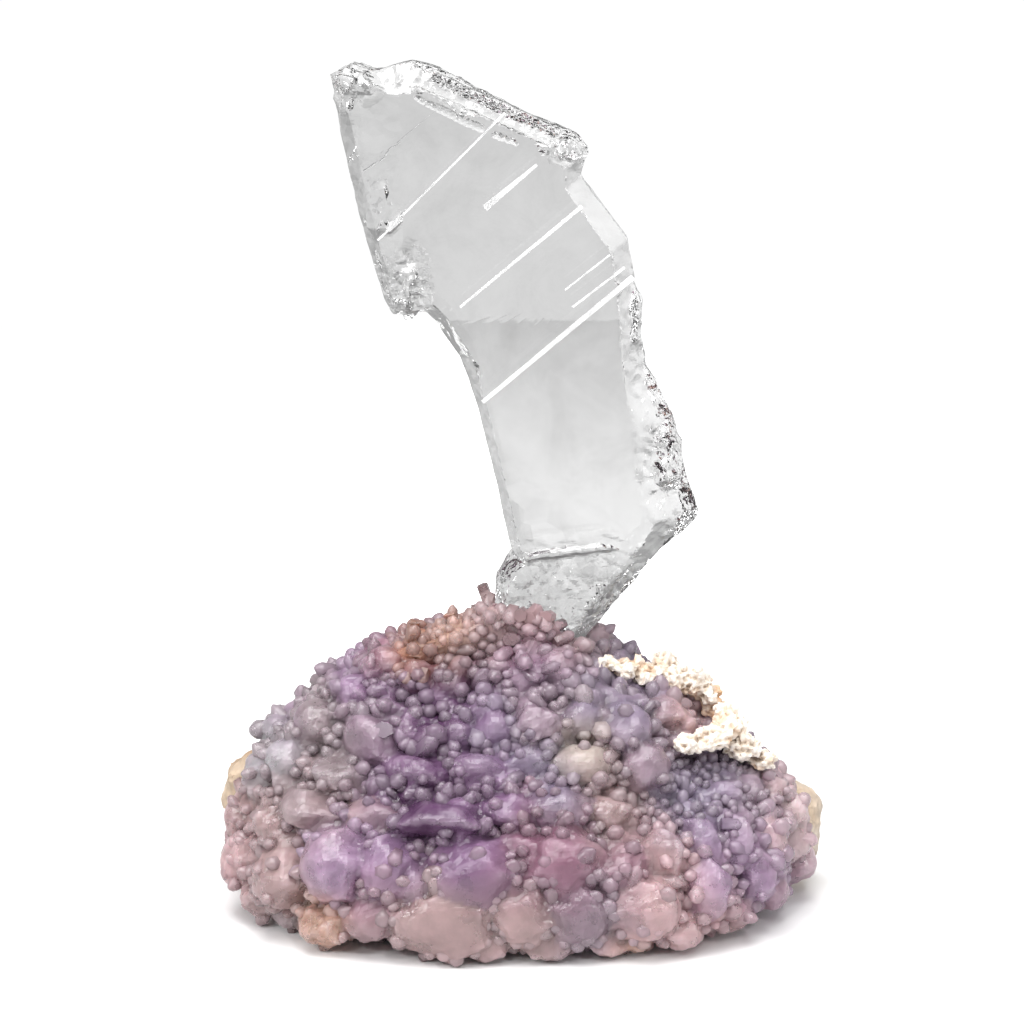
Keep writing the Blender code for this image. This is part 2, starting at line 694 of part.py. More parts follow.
def crust_lumps(path, grow=0.0):
    """The swellings and knobs of a crust, one mesh each."""
    chance = random.Random(CRUST_SEED)
    lumps = []
    for row in path:
        x, y, z, size = rows_in_metres(row)
        centre = Vector((x, y, z))
        places = [(centre, (1.15, 1.3, 0.75))]
        for _ in range(CRUST_KNOBS):
            away = random_direction(chance)
            share = chance.uniform(*KNOB_SIZES)
            beside = centre + Vector((away.x, away.y, abs(away.z) * 0.7)) * size * 0.9
            places.append((beside, [share] * 3))
        for middle, shares in places:
            shape = bmesh.new()
            half_sizes = [share * size + grow for share in shares]
            add_lump(shape, middle, half_sizes, chance, 2, detail=1)
            lumps.append(shape)
    return lumps


def floor_cutter(collection, top, name):
    """A box under a height, which cuts a piece off flat."""
    shape = bmesh.new()
    bmesh.ops.create_cube(shape, size=200 * MM)
    bmesh.ops.translate(shape, vec=Vector((0.0, 0.0, top - 100 * MM)), verts=shape.verts)
    return as_guide(object_from(name, shape, collection))


def joined_lumps(name, lumps, collection, finish=None):
    """Makes one body of lumps that overlap."""
    obj = object_from(name, lumps[0], collection, finish)
    rest = bmesh.new()
    for lump in lumps[1:]:
        add_to(rest, lump)
    others = as_guide(object_from(name + "_others", rest, collection))
    join(obj, others)
    bpy.data.objects.remove(others)
    return obj


def main():
    clear_scene()
    parts = new_collection("calcite_on_amethyst")
    cutters = new_collection("cutters")
    cutters.hide_render = True

    amethyst = material("amethyst", (0.36, 0.22, 0.33), 0.18, transmission=0.35, ior=1.544)
    calcite = material("calcite", (0.86, 0.87, 0.88), 0.04, transmission=1.0, ior=1.6)
    chalk = material("chalk", (0.78, 0.72, 0.65), 0.85)
    rock = material("host_rock", (0.44, 0.34, 0.25), 0.8)

    # Pieces that the cluster grew round, each with a slightly larger twin that cuts its place
    blade = object_from("calcite_blade", blade_shape(), parts, calcite)
    chip_shapes = lumps_from(BLADE_CHIPS, BLADE_SEED, BLADE_LUMP_CUTS)
    chips = as_guide(object_from("blade_chips", chip_shapes, cutters))
    additions = seam_shapes()
    add_to(additions, lumps_from(BLADE_LUMPS, BLADE_SEED, BLADE_LUMP_CUTS))
    join(blade, as_guide(object_from("blade_additions", additions, cutters)))
    cut(blade, chips)
    blade_cutter = as_guide(object_from("blade_cutter", blade_shape(GAP), cutters))

    ground = floor_cutter(cutters, 0.0, "ground_cutter")
    host = joined_lumps("host_rock", rock_lumps(), parts, rock)
    cut(host, ground)
    host_cutter = as_guide(joined_lumps("host_cutter", rock_lumps(CUT_MARGIN), cutters))

    crusts = []
    crust_cutters = []
    for name, path in (("white_crust_upper", UPPER_CRUST_PATH), ("white_crust_lower", LOWER_CRUST_PATH)):
        crusts.append(joined_lumps(name, crust_lumps(path), parts, chalk))
        grown = joined_lumps(name + "_cutter", crust_lumps(path, CUT_MARGIN), cutters)
        crust_cutters.append(as_guide(grown))

    chance = random.Random(CRYSTAL_SEED)
    cluster = object_from("amethyst_cluster", mound_shape(), parts, amethyst)
    grow_together(cluster, crystal_shapes(chance))
    low = floor_cutter(cutters, CLUSTER_FLOOR, "low_cutter")
    cut(cluster, low, blade_cutter, host_cutter, *crust_cutters)
    for crust in crusts:
        cut(crust, host_cutter, blade_cutter)


main()
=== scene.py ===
"""A water-clear calcite blade on a mound of lilac amethyst, lit as on a white studio table."""

import math
import random

import bmesh
import bpy
import numpy as np
from mathutils import Matrix, Vector, noise
from mathutils.bvhtree import BVHTree


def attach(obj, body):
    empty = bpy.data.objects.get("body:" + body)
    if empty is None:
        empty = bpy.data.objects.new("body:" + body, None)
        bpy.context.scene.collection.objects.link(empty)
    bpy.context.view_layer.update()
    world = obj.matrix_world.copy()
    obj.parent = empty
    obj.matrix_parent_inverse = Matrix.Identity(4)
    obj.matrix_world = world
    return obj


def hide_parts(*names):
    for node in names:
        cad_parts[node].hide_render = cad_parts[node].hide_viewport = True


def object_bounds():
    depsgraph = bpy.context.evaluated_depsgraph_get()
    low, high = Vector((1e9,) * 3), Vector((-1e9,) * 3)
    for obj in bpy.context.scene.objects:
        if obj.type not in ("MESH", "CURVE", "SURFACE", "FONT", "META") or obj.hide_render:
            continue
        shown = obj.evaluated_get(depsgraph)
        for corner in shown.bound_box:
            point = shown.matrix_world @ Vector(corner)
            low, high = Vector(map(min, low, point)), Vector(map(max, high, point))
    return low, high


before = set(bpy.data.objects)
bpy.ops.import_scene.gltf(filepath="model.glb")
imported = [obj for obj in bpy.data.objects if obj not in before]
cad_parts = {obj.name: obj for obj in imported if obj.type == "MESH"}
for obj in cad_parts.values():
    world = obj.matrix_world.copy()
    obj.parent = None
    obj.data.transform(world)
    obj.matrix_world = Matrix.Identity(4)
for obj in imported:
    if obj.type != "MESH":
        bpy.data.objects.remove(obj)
cad_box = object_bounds()
scene = bpy.context.scene

# Camera. A long lens a third of a metre away and a little above the piece, looking down at it by 12
# degrees, so that the top of the mound is seen and the blade stands clear of it.
MM = 0.001
VIEW_TARGET = Vector((-0.66, 0.0, 48.0)) * MM
VIEW_DISTANCE = 340 * MM
VIEW_DROP = math.radians(12)

lens = bpy.data.cameras.new("camera")
lens.lens = 100
lens.sensor_width = 36
lens.clip_start = 0.01
camera = bpy.data.objects.new("camera", lens)
scene.collection.objects.link(camera)
camera.location = VIEW_TARGET + VIEW_DISTANCE * Vector((0, -math.cos(VIEW_DROP), math.sin(VIEW_DROP)))
camera.rotation_euler = (math.pi / 2 - VIEW_DROP, 0, 0)
scene.camera = camera
scene.view_settings.view_transform = "Standard"

# Light and table. White card under a wide soft lamp. The clear crystal is seen by what it bends, so the
# walls round it run from pale near the table to grey above, with two bright windows and small lamps.


def add_node(tree, kind, inputs=None, **options):
    """Adds a shader node, sets its options, and links or sets its inputs by name or number."""
    made = tree.nodes.new("ShaderNode" + kind)
    for name, value in options.items():
        setattr(made, name, value)
    for name, value in (inputs or {}).items():
        if isinstance(value, bpy.types.NodeSocket):
            tree.links.new(value, made.inputs[name])
        else:
            made.inputs[name].default_value = value
    return made


def add_ramp(tree, source, stops):
    """A colour ramp through (position, colour) stops."""
    ramp = add_node(tree, "ValToRGB", {"Fac": source})
    elements = ramp.color_ramp.elements
    while len(elements) < len(stops):
        elements.new(0.5)
    for element, (position, colour) in zip(elements, stops):
        element.position = position
        element.color = (*colour, 1)
    return ramp.outputs["Color"]


def grey(value):
    """An even grey, from black at 0 to white at 1."""
    return (value, value, value)


def new_material(name, settings):
    """A material with sockets of its shader set by name, its node tree and that shader."""
    made = bpy.data.materials.new(name)
    made.use_nodes = True
    shader = made.node_tree.nodes["Principled BSDF"]
    for socket, value in settings.items():
        shader.inputs[socket].default_value = value
    return made, made.node_tree, shader


# Greys of the walls round the table, from straight below (0) to straight above (1)
WALL_GREYS = [
    (0.0, 0.80),
    (0.40, 0.77),
    (0.45, 0.75),
    (0.49, 0.66),
    (0.54, 0.50),
    (0.60, 0.30),
    (0.74, 0.26),
    (1.0, 0.55),
]
PAPER_GLOW = 1.02
world = bpy.data.worlds.new("studio")
scene.world = world
world.use_nodes = True
tree = world.node_tree
tree.nodes.clear()
heading = add_node(tree, "TexCoord")
split = add_node(tree, "SeparateXYZ", {"Vector": heading.outputs["Generated"]})
height = add_node(tree, "MapRange", {"Value": split.outputs["Z"], "From Min": -1.0, "From Max": 1.0})
walls = add_ramp(tree, height.outputs["Result"], [(up, grey(tone)) for up, tone in WALL_GREYS])
studio = add_node(tree, "Background", {"Color": walls, "Strength": 1.0})
paper = add_node(tree, "Background", {"Color": (1, 1, 1, 1), "Strength": PAPER_GLOW})
rays = add_node(tree, "LightPath")
chooser = add_node(
    tree,
    "MixShader",
    {0: rays.outputs["Is Camera Ray"], 1: studio.outputs["Background"], 2: paper.outputs["Background"]},
)
add_node(tree, "OutputWorld", {"Surface": chooser.outputs["Shader"]})

# Square lamps: (name, place, size, watts), in metres, and the place that they all point at
LAMPS = [
    ("overhead_lamp", (-0.04, -0.12, 0.60), 0.50, 4.6),
    ("left_window", (-0.40, -0.30, 0.30), 0.15, 1.0),
    ("right_window", (0.42, -0.40, 0.26), 0.10, 0.5),
    ("front_spark_left", (-0.16, -0.52, 0.34), 0.03, 0.5),
    ("front_spark_right", (0.12, -0.50, 0.46), 0.03, 0.6),
]
LAMP_TARGET = Vector((0, 0, 0.04))
for name, spot, width, power in LAMPS:
    lamp = bpy.data.lights.new(name, "AREA")
    lamp.shape = "SQUARE"
    lamp.size = width
    lamp.energy = power
    holder = bpy.data.objects.new(name, lamp)
    scene.collection.objects.link(holder)
    holder.location = spot
    holder.rotation_euler = (LAMP_TARGET - Vector(spot)).to_track_quat("-Z", "Y").to_euler()

# The table is a round card, half a metre in radius. Seen straight, it runs from its own shaded white under
# the piece to a full glow further out. Seen through the crystal, it is a plain light grey.
TABLE_RADIUS = 0.5
GLOW_START = 0.07
GLOW_FULL = 0.17
CARD_SEEN = 0.94
CARD_THROUGH_CRYSTAL = 0.72
bpy.ops.object.select_all(action="DESELECT")
bpy.ops.mesh.primitive_circle_add(vertices=128, radius=TABLE_RADIUS, fill_type="NGON")
table = bpy.context.object
table.name = "table"
card, tree, card_shader = new_material("white_card", {"Roughness": 0.8, "Specular IOR Level": 0.2})
where = add_node(tree, "TexCoord").outputs["Object"]
reach = add_node(tree, "VectorMath", {0: where}, operation="LENGTH")
far = add_node(
    tree,
    "MapRange",
    {"Value": reach.outputs["Value"], "From Min": GLOW_START, "From Max": GLOW_FULL},
    interpolation_type="SMOOTHSTEP",
)
glow = add_ramp(tree, far.outputs["Result"], [(0, grey(0.0)), (1, grey(1.0))])
tree.links.new(glow, card_shader.inputs["Emission Color"])
rays = add_node(tree, "LightPath")
white = add_ramp(
    tree, rays.outputs["Is Camera Ray"], [(0, grey(CARD_THROUGH_CRYSTAL)), (1, grey(CARD_SEEN))]
)
tree.links.new(white, card_shader.inputs["Base Color"])
tree.links.new(rays.outputs["Is Camera Ray"], card_shader.inputs["Emission Strength"])
table.data.materials.append(card)

# Amethyst, the body of the cluster. Cloudy violet quartz, rough with buried crystals, which all the
# points grow from. It is skinned evenly over the solid and drawn in, so that the points stand out of it.
BODY_GRAIN = 0.7 * MM
BODY_SMOOTHING = 6
BODY_DRAWN_IN = 1.3 * MM
BODY_BUMP_WIDTH = 1.8 * MM
BODY_BUMP_HEIGHT = 0.9 * MM
BODY_DARKENING = 0.62
MERGE_DISTANCE = 1e-6


def alone(obj):
    """Makes this the only selected and active object."""
    bpy.ops.object.select_all(action="DESELECT")
    obj.select_set(True)
    bpy.context.view_layer.objects.active = obj


def apply_modifiers(obj):
    """Applies all of this object's modifiers, in their order."""
    alone(obj)
    for modifier in list(obj.modifiers):
        bpy.ops.object.modifier_apply(modifier=modifier.name)


def copy_of_solid(node, name):
    """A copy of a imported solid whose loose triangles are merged."""
    obj = bpy.data.objects.new(name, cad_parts[node].data.copy())
    scene.collection.objects.link(obj)
    obj.data.materials.clear()
    alone(obj)
    bpy.ops.object.mode_set(mode="EDIT")
    bpy.ops.mesh.select_all(action="SELECT")
    bpy.ops.mesh.remove_doubles(threshold=MERGE_DISTANCE)
    bpy.ops.object.mode_set(mode="OBJECT")
    return obj


def skin_over(obj, grain, smoothing=0):
    """Replaces a mesh by one even skin with faces of the given size."""
    skin = obj.modifiers.new("skin", "REMESH")
    skin.mode = "VOXEL"
    skin.voxel_size = grain
    if smoothing:
        soften = obj.modifiers.new("soften", "SMOOTH")
        soften.factor = 0.5
        soften.iterations = smoothing
    apply_modifiers(obj)


def roughen(obj, pattern_kind, grain, strength, middle=0.5, group="", depth=0):
    """Raises and sinks a surface by a cloud or cell pattern of the given grain, within a vertex group."""
    pattern = bpy.data.textures.new(obj.name + "_relief", pattern_kind)
    pattern.noise_scale = grain
    if pattern_kind == "CLOUDS":
        pattern.noise_depth = depth
    modifier = obj.modifiers.new("relief", "DISPLACE")
    modifier.texture = pattern
    modifier.texture_coords = "LOCAL"
    modifier.strength = strength
    modifier.mid_level = middle
    modifier.vertex_group = group
    apply_modifiers(obj)


def points_of(mesh):
    """The places of all vertices, one row each."""
    places = np.empty(len(mesh.vertices) * 3)
    mesh.vertices.foreach_get("co", places)
    return places.reshape(-1, 3)


def hollows_of(mesh):
    """For each vertex, how deep in a hollow (positive) or high on an edge (negative) it lies."""
    places = points_of(mesh)
    ends = np.empty(len(mesh.edges) * 2, dtype=int)
    mesh.edges.foreach_get("vertices", ends)
    ends = ends.reshape(-1, 2)
    normals = np.empty(len(mesh.vertices) * 3)
    mesh.vertices.foreach_get("normal", normals)
    normals = normals.reshape(-1, 3)
    count = np.bincount(ends.ravel(), minlength=len(places)).clip(1)
    lengths = np.linalg.norm(places[ends[:, 0]] - places[ends[:, 1]], axis=1)

    def around(values):
        """The sum of a value over each vertex's neighbours."""
        total = np.zeros(len(places))
        for near, far_end in ((0, 1), (1, 0)):
            total += np.bincount(ends[:, near], weights=values[ends[:, far_end]], minlength=len(places))
        return total

    middles = np.column_stack([around(places[:, axis]) for axis in range(3)]) / count[:, None]
    bend = ((middles - places) * normals).sum(1) / lengths.mean()
    for _ in range(2):
        bend = 0.5 * bend + 0.5 * around(bend) / count
    return bend


def shade(red, green, blue):
    """A colour in linear light, from the values of a paint chart."""
    chart = np.array([red, green, blue]) / 255
    return np.where(chart < 0.04045, chart / 12.92, ((chart + 0.055) / 1.055) ** 2.4)


QUARTZ_TINTS = {
    "pale": shade(214, 188, 190),
    "pale_rose": shade(205, 170, 172),
    "rose_grey": shade(176, 148, 148),
    "peach": shade(206, 166, 148),
    "rust": shade(178, 124, 98),
    "wine": shade(112, 62, 66),
    "recess": shade(104, 68, 82),
    "smoky": shade(152, 136, 140),
    "clear_grey": shade(176, 172, 178),
    "grey_lilac": shade(150, 128, 142),
    "slate": shade(138, 124, 148),
    "lilac": shade(168, 138, 170),
    "violet": shade(138, 104, 140),
    "deep_violet": shade(98, 62, 100),
    "mauve": shade(150, 110, 128),
    "deep_mauve": shade(132, 82, 108),
    "honey_grey": shade(190, 176, 164),
}
# Zones of colour as seen from the front: (x, z, reach, tint), in millimetres. They fade into each other
# with distance, and into one tint on the way round to the back.
COLOUR_ZONES = [
    (2.7, 36.7, 5.0, "pale_rose"),
    (7.5, 33.0, 3.5, "rose_grey"),
    (-3.5, 35.5, 2.6, "rose_grey"),
    (-8.0, 34.5, 3.0, "peach"),
    (-12.5, 32.8, 3.0, "rust"),
    (-17.5, 31.8, 2.4, "mauve"),
    (-6.0, 31.0, 2.6, "recess"),
    (-10.5, 31.0, 1.6, "wine"),
    (2.6, 31.5, 3.5, "violet"),
    (8.0, 29.5, 3.0, "slate"),
    (2.6, 27.6, 3.5, "grey_lilac"),
    (-5.0, 27.0, 2.5, "violet"),
    (-10.3, 27.1, 2.8, "deep_violet"),
    (-15.0, 28.0, 2.8, "violet"),
    (-20.0, 28.5, 2.5, "lilac"),
    (-24.3, 25.6, 3.5, "smoky"),
    (-16.8, 24.5, 3.5, "grey_lilac"),
    (-28.2, 24.5, 2.5, "lilac"),
    (-30.3, 20.5, 3.0, "clear_grey"),
    (-27.1, 18.5, 3.5, "smoky"),
    (-21.0, 20.9, 3.0, "smoky"),
    (-15.6, 21.9, 3.0, "violet"),
    (-12.0, 18.4, 4.5, "deep_violet"),
    (-4.4, 20.0, 3.5, "violet"),
    (-3.0, 24.0, 3.0, "slate"),
    (4.9, 20.6, 3.0, "slate"),
    (7.1, 23.3, 2.8, "honey_grey"),
    (9.6, 19.5, 3.0, "rose_grey"),
    (14.4, 24.0, 3.5, "grey_lilac"),
    (14.6, 28.0, 3.0, "slate"),
    (20.4, 23.7, 3.0, "pale_rose"),
    (22.0, 17.0, 4.5, "slate"),
    (27.0, 15.0, 3.0, "grey_lilac"),
    (32.7, 12.3, 4.0, "pale"),
    (-22.0, 15.8, 3.0, "rose_grey"),
    (-28.3, 12.9, 4.0, "rose_grey"),
    (-20.7, 12.5, 3.5, "lilac"),
    (-14.0, 13.0, 3.0, "violet"),
    (-5.5, 14.4, 4.0, "violet"),
    (3.2, 14.6, 3.5, "mauve"),
    (-1.2, 11.0, 3.5, "mauve"),
    (4.9, 10.4, 3.5, "deep_mauve"),
    (11.0, 15.0, 3.0, "rose_grey"),
    (12.0, 10.5, 3.0, "mauve"),
    (-27.4, 8.5, 3.5, "rose_grey"),
    (-34.0, 7.0, 3.5, "pale_rose"),
    (-23.0, 4.8, 3.0, "peach"),
    (-28.5, 3.2, 3.0, "rose_grey"),
    (-16.5, 8.8, 3.0, "mauve"),
    (-9.3, 5.5, 4.5, "rose_grey"),
    (-16.0, 3.0, 3.0, "rose_grey"),
    (0.5, 4.5, 4.0, "rose_grey"),
    (9.4, 5.0, 4.5, "grey_lilac"),
    (17.6, 8.5, 4.0, "pale_rose"),
    (26.7, 9.5, 4.5, "lilac"),
    (21.0, 3.5, 4.5, "pale_rose"),
    (12.4, 1.0, 2.5, "peach"),
]
ZONE_FADE = 1.3
BACK_TINT = "grey_lilac"
BACK_START = 2.0
BACK_RUN = 8.0
BACK_SHARE = 0.65


def tints_at(places):
    """The quartz tint at each place, blended from the zones in front of it."""
    spots = np.asarray(places) / MM
    total = np.zeros((len(spots), 3))
    weights = np.full(len(spots), 1e-6)
    for x, z, reach, tint in COLOUR_ZONES:
        away = ((spots[:, 0] - x) ** 2 + (spots[:, 2] - z) ** 2) / reach**2
        weight = np.exp(-ZONE_FADE * away)
        total += weight[:, None] * QUARTZ_TINTS[tint]
        weights += weight
    blended = total / weights[:, None]
    behind = np.clip((spots[:, 1] - BACK_START) / BACK_RUN, 0, BACK_SHARE)[:, None]
    return blended * (1 - behind) + QUARTZ_TINTS[BACK_TINT] * behind


def paint(obj, tints, edges):
    """Stores a tint and an edge value for every vertex."""
    tint = obj.data.attributes.new("tint", "FLOAT_COLOR", "POINT")
    rgba = np.ones((len(tints), 4), dtype=np.float32)
    rgba[:, :3] = tints
    tint.data.foreach_set("color", rgba.ravel())
    edge = obj.data.attributes.new("edge", "FLOAT", "POINT")
    edge.data.foreach_set("value", np.asarray(edges, dtype=np.float32))


# Edges are mixed towards this pale colour: part wear, part a painted highlight
WEAR_AND_HIGHLIGHT_COLOUR = (0.80, 0.70, 0.76, 1)
ROUGHEST = 0.55


def quartz_clouds():
    """Milky clouds and a sugary grain inside quartz, and pale edges that are part wear and part painted
    highlight, shared by all its materials.
    """
    group = bpy.data.node_groups.new("quartz_clouds", "ShaderNodeTree")
    sockets = [
        ("Tint", "INPUT", "Color"),
        ("Edge", "INPUT", "Float"),
        ("Cloud Depth", "INPUT", "Float"),
        ("Gloss", "INPUT", "Float"),
        ("Color", "OUTPUT", "Color"),
        ("Roughness", "OUTPUT", "Float"),
        ("Height", "OUTPUT", "Float"),
    ]
    for name, direction, kind in sockets:
        group.interface.new_socket(name, in_out=direction, socket_type="NodeSocket" + kind)
    given = group.nodes.new("NodeGroupInput").outputs
    results = group.nodes.new("NodeGroupOutput")
    where = add_node(group, "TexCoord").outputs["Object"]
    haze = add_node(group, "TexNoise", {"Vector": where, "Scale": 260, "Detail": 4, "Roughness": 0.6})
    low = add_node(group, "Math", {0: 1.0, 1: given["Cloud Depth"]}, operation="SUBTRACT")
    high = add_node(group, "Math", {0: 1.0, 1: given["Cloud Depth"]}, operation="ADD")
    strength = add_node(
        group,
        "MapRange",
        {
            "Value": haze.outputs["Fac"],
            "From Min": 0.32,
            "From Max": 0.68,
            "To Min": low.outputs["Value"],
            "To Max": high.outputs["Value"],
        },
    )
    cloudy = add_node(
        group, "VectorMath", {0: given["Tint"], "Scale": strength.outputs["Result"]}, operation="SCALE"
    )
    # Painted highlight and wear: the tint is mixed towards a pale colour along the edges
    pale = add_node(
        group,
        "Mix",
        {"Factor": given["Edge"], "A": cloudy.outputs["Vector"], "B": WEAR_AND_HIGHLIGHT_COLOUR},
        data_type="RGBA",
    )
    grain = add_node(group, "TexNoise", {"Vector": where, "Scale": 1700, "Detail": 3})
    rough = add_node(
        group, "MapRange", {"Value": haze.outputs["Fac"], "To Min": given["Gloss"], "To Max": ROUGHEST}
    )
    group.links.new(pale.outputs["Result"], results.inputs["Color"])
    group.links.new(rough.outputs["Result"], results.inputs["Roughness"])
    group.links.new(grain.outputs["Fac"], results.inputs["Height"])
    return group


CLOUDS = quartz_clouds()


def quartz(name, transmission, gloss, cloud_depth, bump, subsurface=0.0):
    """Quartz in its own tint, cloudy inside, paler along its edges, by wear and by a painted highlight."""
    made, tree, shader = new_material(
        name,
        {
            "IOR": 1.544,
            "Transmission Weight": transmission,
            "Subsurface Weight": subsurface,
            "Subsurface Radius": (1.0, 0.7, 0.95),
            "Subsurface Scale": 1.5 * MM,
        },
    )
    tint = add_node(tree, "Attribute", attribute_name="tint")
    edge = add_node(tree, "Attribute", attribute_name="edge")
    clouds = add_node(tree, "Group", node_tree=CLOUDS)
    clouds.inputs["Cloud Depth"].default_value = cloud_depth
    clouds.inputs["Gloss"].default_value = gloss
    tree.links.new(tint.outputs["Color"], clouds.inputs["Tint"])
    tree.links.new(edge.outputs["Fac"], clouds.inputs["Edge"])
    tree.links.new(clouds.outputs["Color"], shader.inputs["Base Color"])
    tree.links.new(clouds.outputs["Roughness"], shader.inputs["Roughness"])
    relief = add_node(
        tree,
        "Bump",
        {"Strength": bump, "Distance": 0.08 * MM, "Height": clouds.outputs["Height"]},
    )
    tree.links.new(relief.outputs["Normal"], shader.inputs["Normal"])
    return made


mass = copy_of_solid("amethyst_cluster", "amethyst_mass")
skin_over(mass, BODY_GRAIN, smoothing=BODY_SMOOTHING)
draw_in = mass.modifiers.new("draw_in", "DISPLACE")
draw_in.strength = -BODY_DRAWN_IN
draw_in.mid_level = 0.0
apply_modifiers(mass)
mass_tree = BVHTree.FromObject(mass, bpy.context.evaluated_depsgraph_get())
roughen(mass, "VORONOI", BODY_BUMP_WIDTH, BODY_BUMP_HEIGHT)
paint(mass, tints_at(points_of(mass.data)) * BODY_DARKENING, np.zeros(len(mass.data.vertices)))
body_quartz = quartz(
    "amethyst_body", transmission=0.0, gloss=0.3, cloud_depth=0.3, bump=0.4, subsurface=0.4
)
mass.data.materials.append(body_quartz)
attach(mass, "root")
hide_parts("amethyst_cluster")

# Amethyst, the large intergrown crystals. Stout six-sided quartz points, tilted at all angles and grown
# into each other, with worn edges and sugary faces. Eight points are modelled, copied to their seats and
# drawn together into one skin.
UNEVENNESS = 0.05
SHIFT_ALONG_Y = 0.6
CUT_SLOPE = (0.2, 1.1)
CUT_DEPTH = (0.62, 0.8)


def quartz_point(name, steps, wear, seed, slices=0):
    """A six-sided point of half width 1: a shaft under a tip in steps of (rise, narrowing, shift)."""
    bpy.ops.object.select_all(action="DESELECT")
    bpy.ops.mesh.primitive_cylinder_add(vertices=6, radius=1, depth=2, location=(0, 0, -0.5))
    obj = bpy.context.object
    obj.name = name
    bpy.ops.object.transform_apply(location=True)
    bpy.ops.object.mode_set(mode="EDIT")
    shape = bmesh.from_edit_mesh(obj.data)
    for face in shape.faces:
        face.select = face.normal.z > 0.9
    bmesh.update_edit_mesh(obj.data)
    for rise, narrowing, shift in steps:
        step = (shift, SHIFT_ALONG_Y * shift, rise)
        bpy.ops.mesh.extrude_region_move(TRANSFORM_OT_translate={"value": step})
        bpy.ops.transform.resize(value=(narrowing, narrowing, 1))
    bpy.ops.mesh.select_all(action="SELECT")
    bpy.ops.transform.vertex_random(offset=UNEVENNESS, seed=seed)
    chance = random.Random(seed)
    for _ in range(slices):
        turn = chance.uniform(0, math.tau)
        away = Vector((math.cos(turn), math.sin(turn), chance.uniform(*CUT_SLOPE))).normalized()
        cut = away * chance.uniform(*CUT_DEPTH)
        bpy.ops.mesh.select_all(action="SELECT")
        bpy.ops.mesh.bisect(plane_co=cut, plane_no=away, use_fill=True, clear_outer=True)
    bpy.ops.mesh.select_all(action="DESELECT")
    shape = bmesh.from_edit_mesh(obj.data)
    for edge in shape.edges:
        edge.select = min(vertex.co.z for vertex in edge.verts) > 0
    bmesh.update_edit_mesh(obj.data)
    bpy.ops.mesh.bevel(offset=wear, segments=1, affect="EDGES")
    bpy.ops.mesh.select_all(action="SELECT")
    bpy.ops.mesh.normals_make_consistent(inside=False)
    bpy.ops.object.mode_set(mode="OBJECT")
    return obj


SMALL_FACE_SHARE = 0.3


class Shape:
    """A modelled form as arrays, so that many turned copies of it can be put in one mesh."""

    def __init__(self, obj):
        self.places = points_of(obj.data)
        self.faces = [list(face.vertices) for face in obj.data.polygons]
        low, top = self.places[:, 2].min(), self.places[:, 2].max()
        self.height = (self.places[:, 2] - low) / (top - low)
        edge_faces = np.zeros(len(self.places))
        areas = np.array([face.area for face in obj.data.polygons])
        for face in obj.data.polygons:
            for corner in face.vertices:
                edge_faces[corner] += face.area < SMALL_FACE_SHARE * areas.max()
        self.on_bevel = np.clip(edge_faces / 3, 0, 1)
        bpy.data.objects.remove(obj)


FOOT_TONE = 0.95
TIP_TONE = 1.4
TIP_EDGE_WEAR_AND_HIGHLIGHT = 0.3
EDGES_FROM_HEIGHT = 0.45


def grown(name, shapes, seats):
    """One mesh of many crystals from seats of (shape number, matrix, tint), paler towards their tips, with
    pale bevels near the tips that are part wear and part painted highlight.
    """
    places, faces, tints, edges = [], [], [], []
    count = 0
    for number, matrix, tint in seats:
        shape = shapes[number]
        turned = shape.places @ np.array(matrix.to_3x3()).T + np.array(matrix.translation)
        places.append(turned)
        faces.extend([[corner + count for corner in face] for face in shape.faces])
        brighter = FOOT_TONE + (TIP_TONE - FOOT_TONE) * shape.height[:, None]
        tints.append(np.array(tint)[None, :] * brighter)
        # Bevels near the tip get pale edges: part wear, part a painted highlight
        edges.append(TIP_EDGE_WEAR_AND_HIGHLIGHT * shape.on_bevel * (shape.height > EDGES_FROM_HEIGHT))
        count += len(turned)
    mesh = bpy.data.meshes.new(name)
    mesh.from_pydata(np.concatenate(places), [], faces)
    mesh.update()
    obj = bpy.data.objects.new(name, mesh)
    scene.collection.objects.link(obj)
    paint(obj, np.concatenate(tints), np.concatenate(edges))
    return obj


# All crystals grow away from this place inside the mound
GROWTH_CENTRE = Vector((0.0, 2.0, 9.0)) * MM
# Tips of the modelled points, each used twice with other cuts: steps of (rise, narrowing, shift)
POINT_STEPS = [
    [(0.35, 0.72, 0.05), (0.3, 0.4, -0.1)],
    [(0.7, 0.22, 0.18)],
    [(0.25, 0.86, 0.0), (0.4, 0.5, 0.12)],
    [(0.5, 0.45, -0.15)],
]
LARGE_WEAR = 0.1
FIRST_SEED = 11
LARGE_POINTS = [
    Shape(quartz_point("large_point", steps, LARGE_WEAR, FIRST_SEED + number, slices=number % 3))
    for number, steps in enumerate(POINT_STEPS * 2)
]
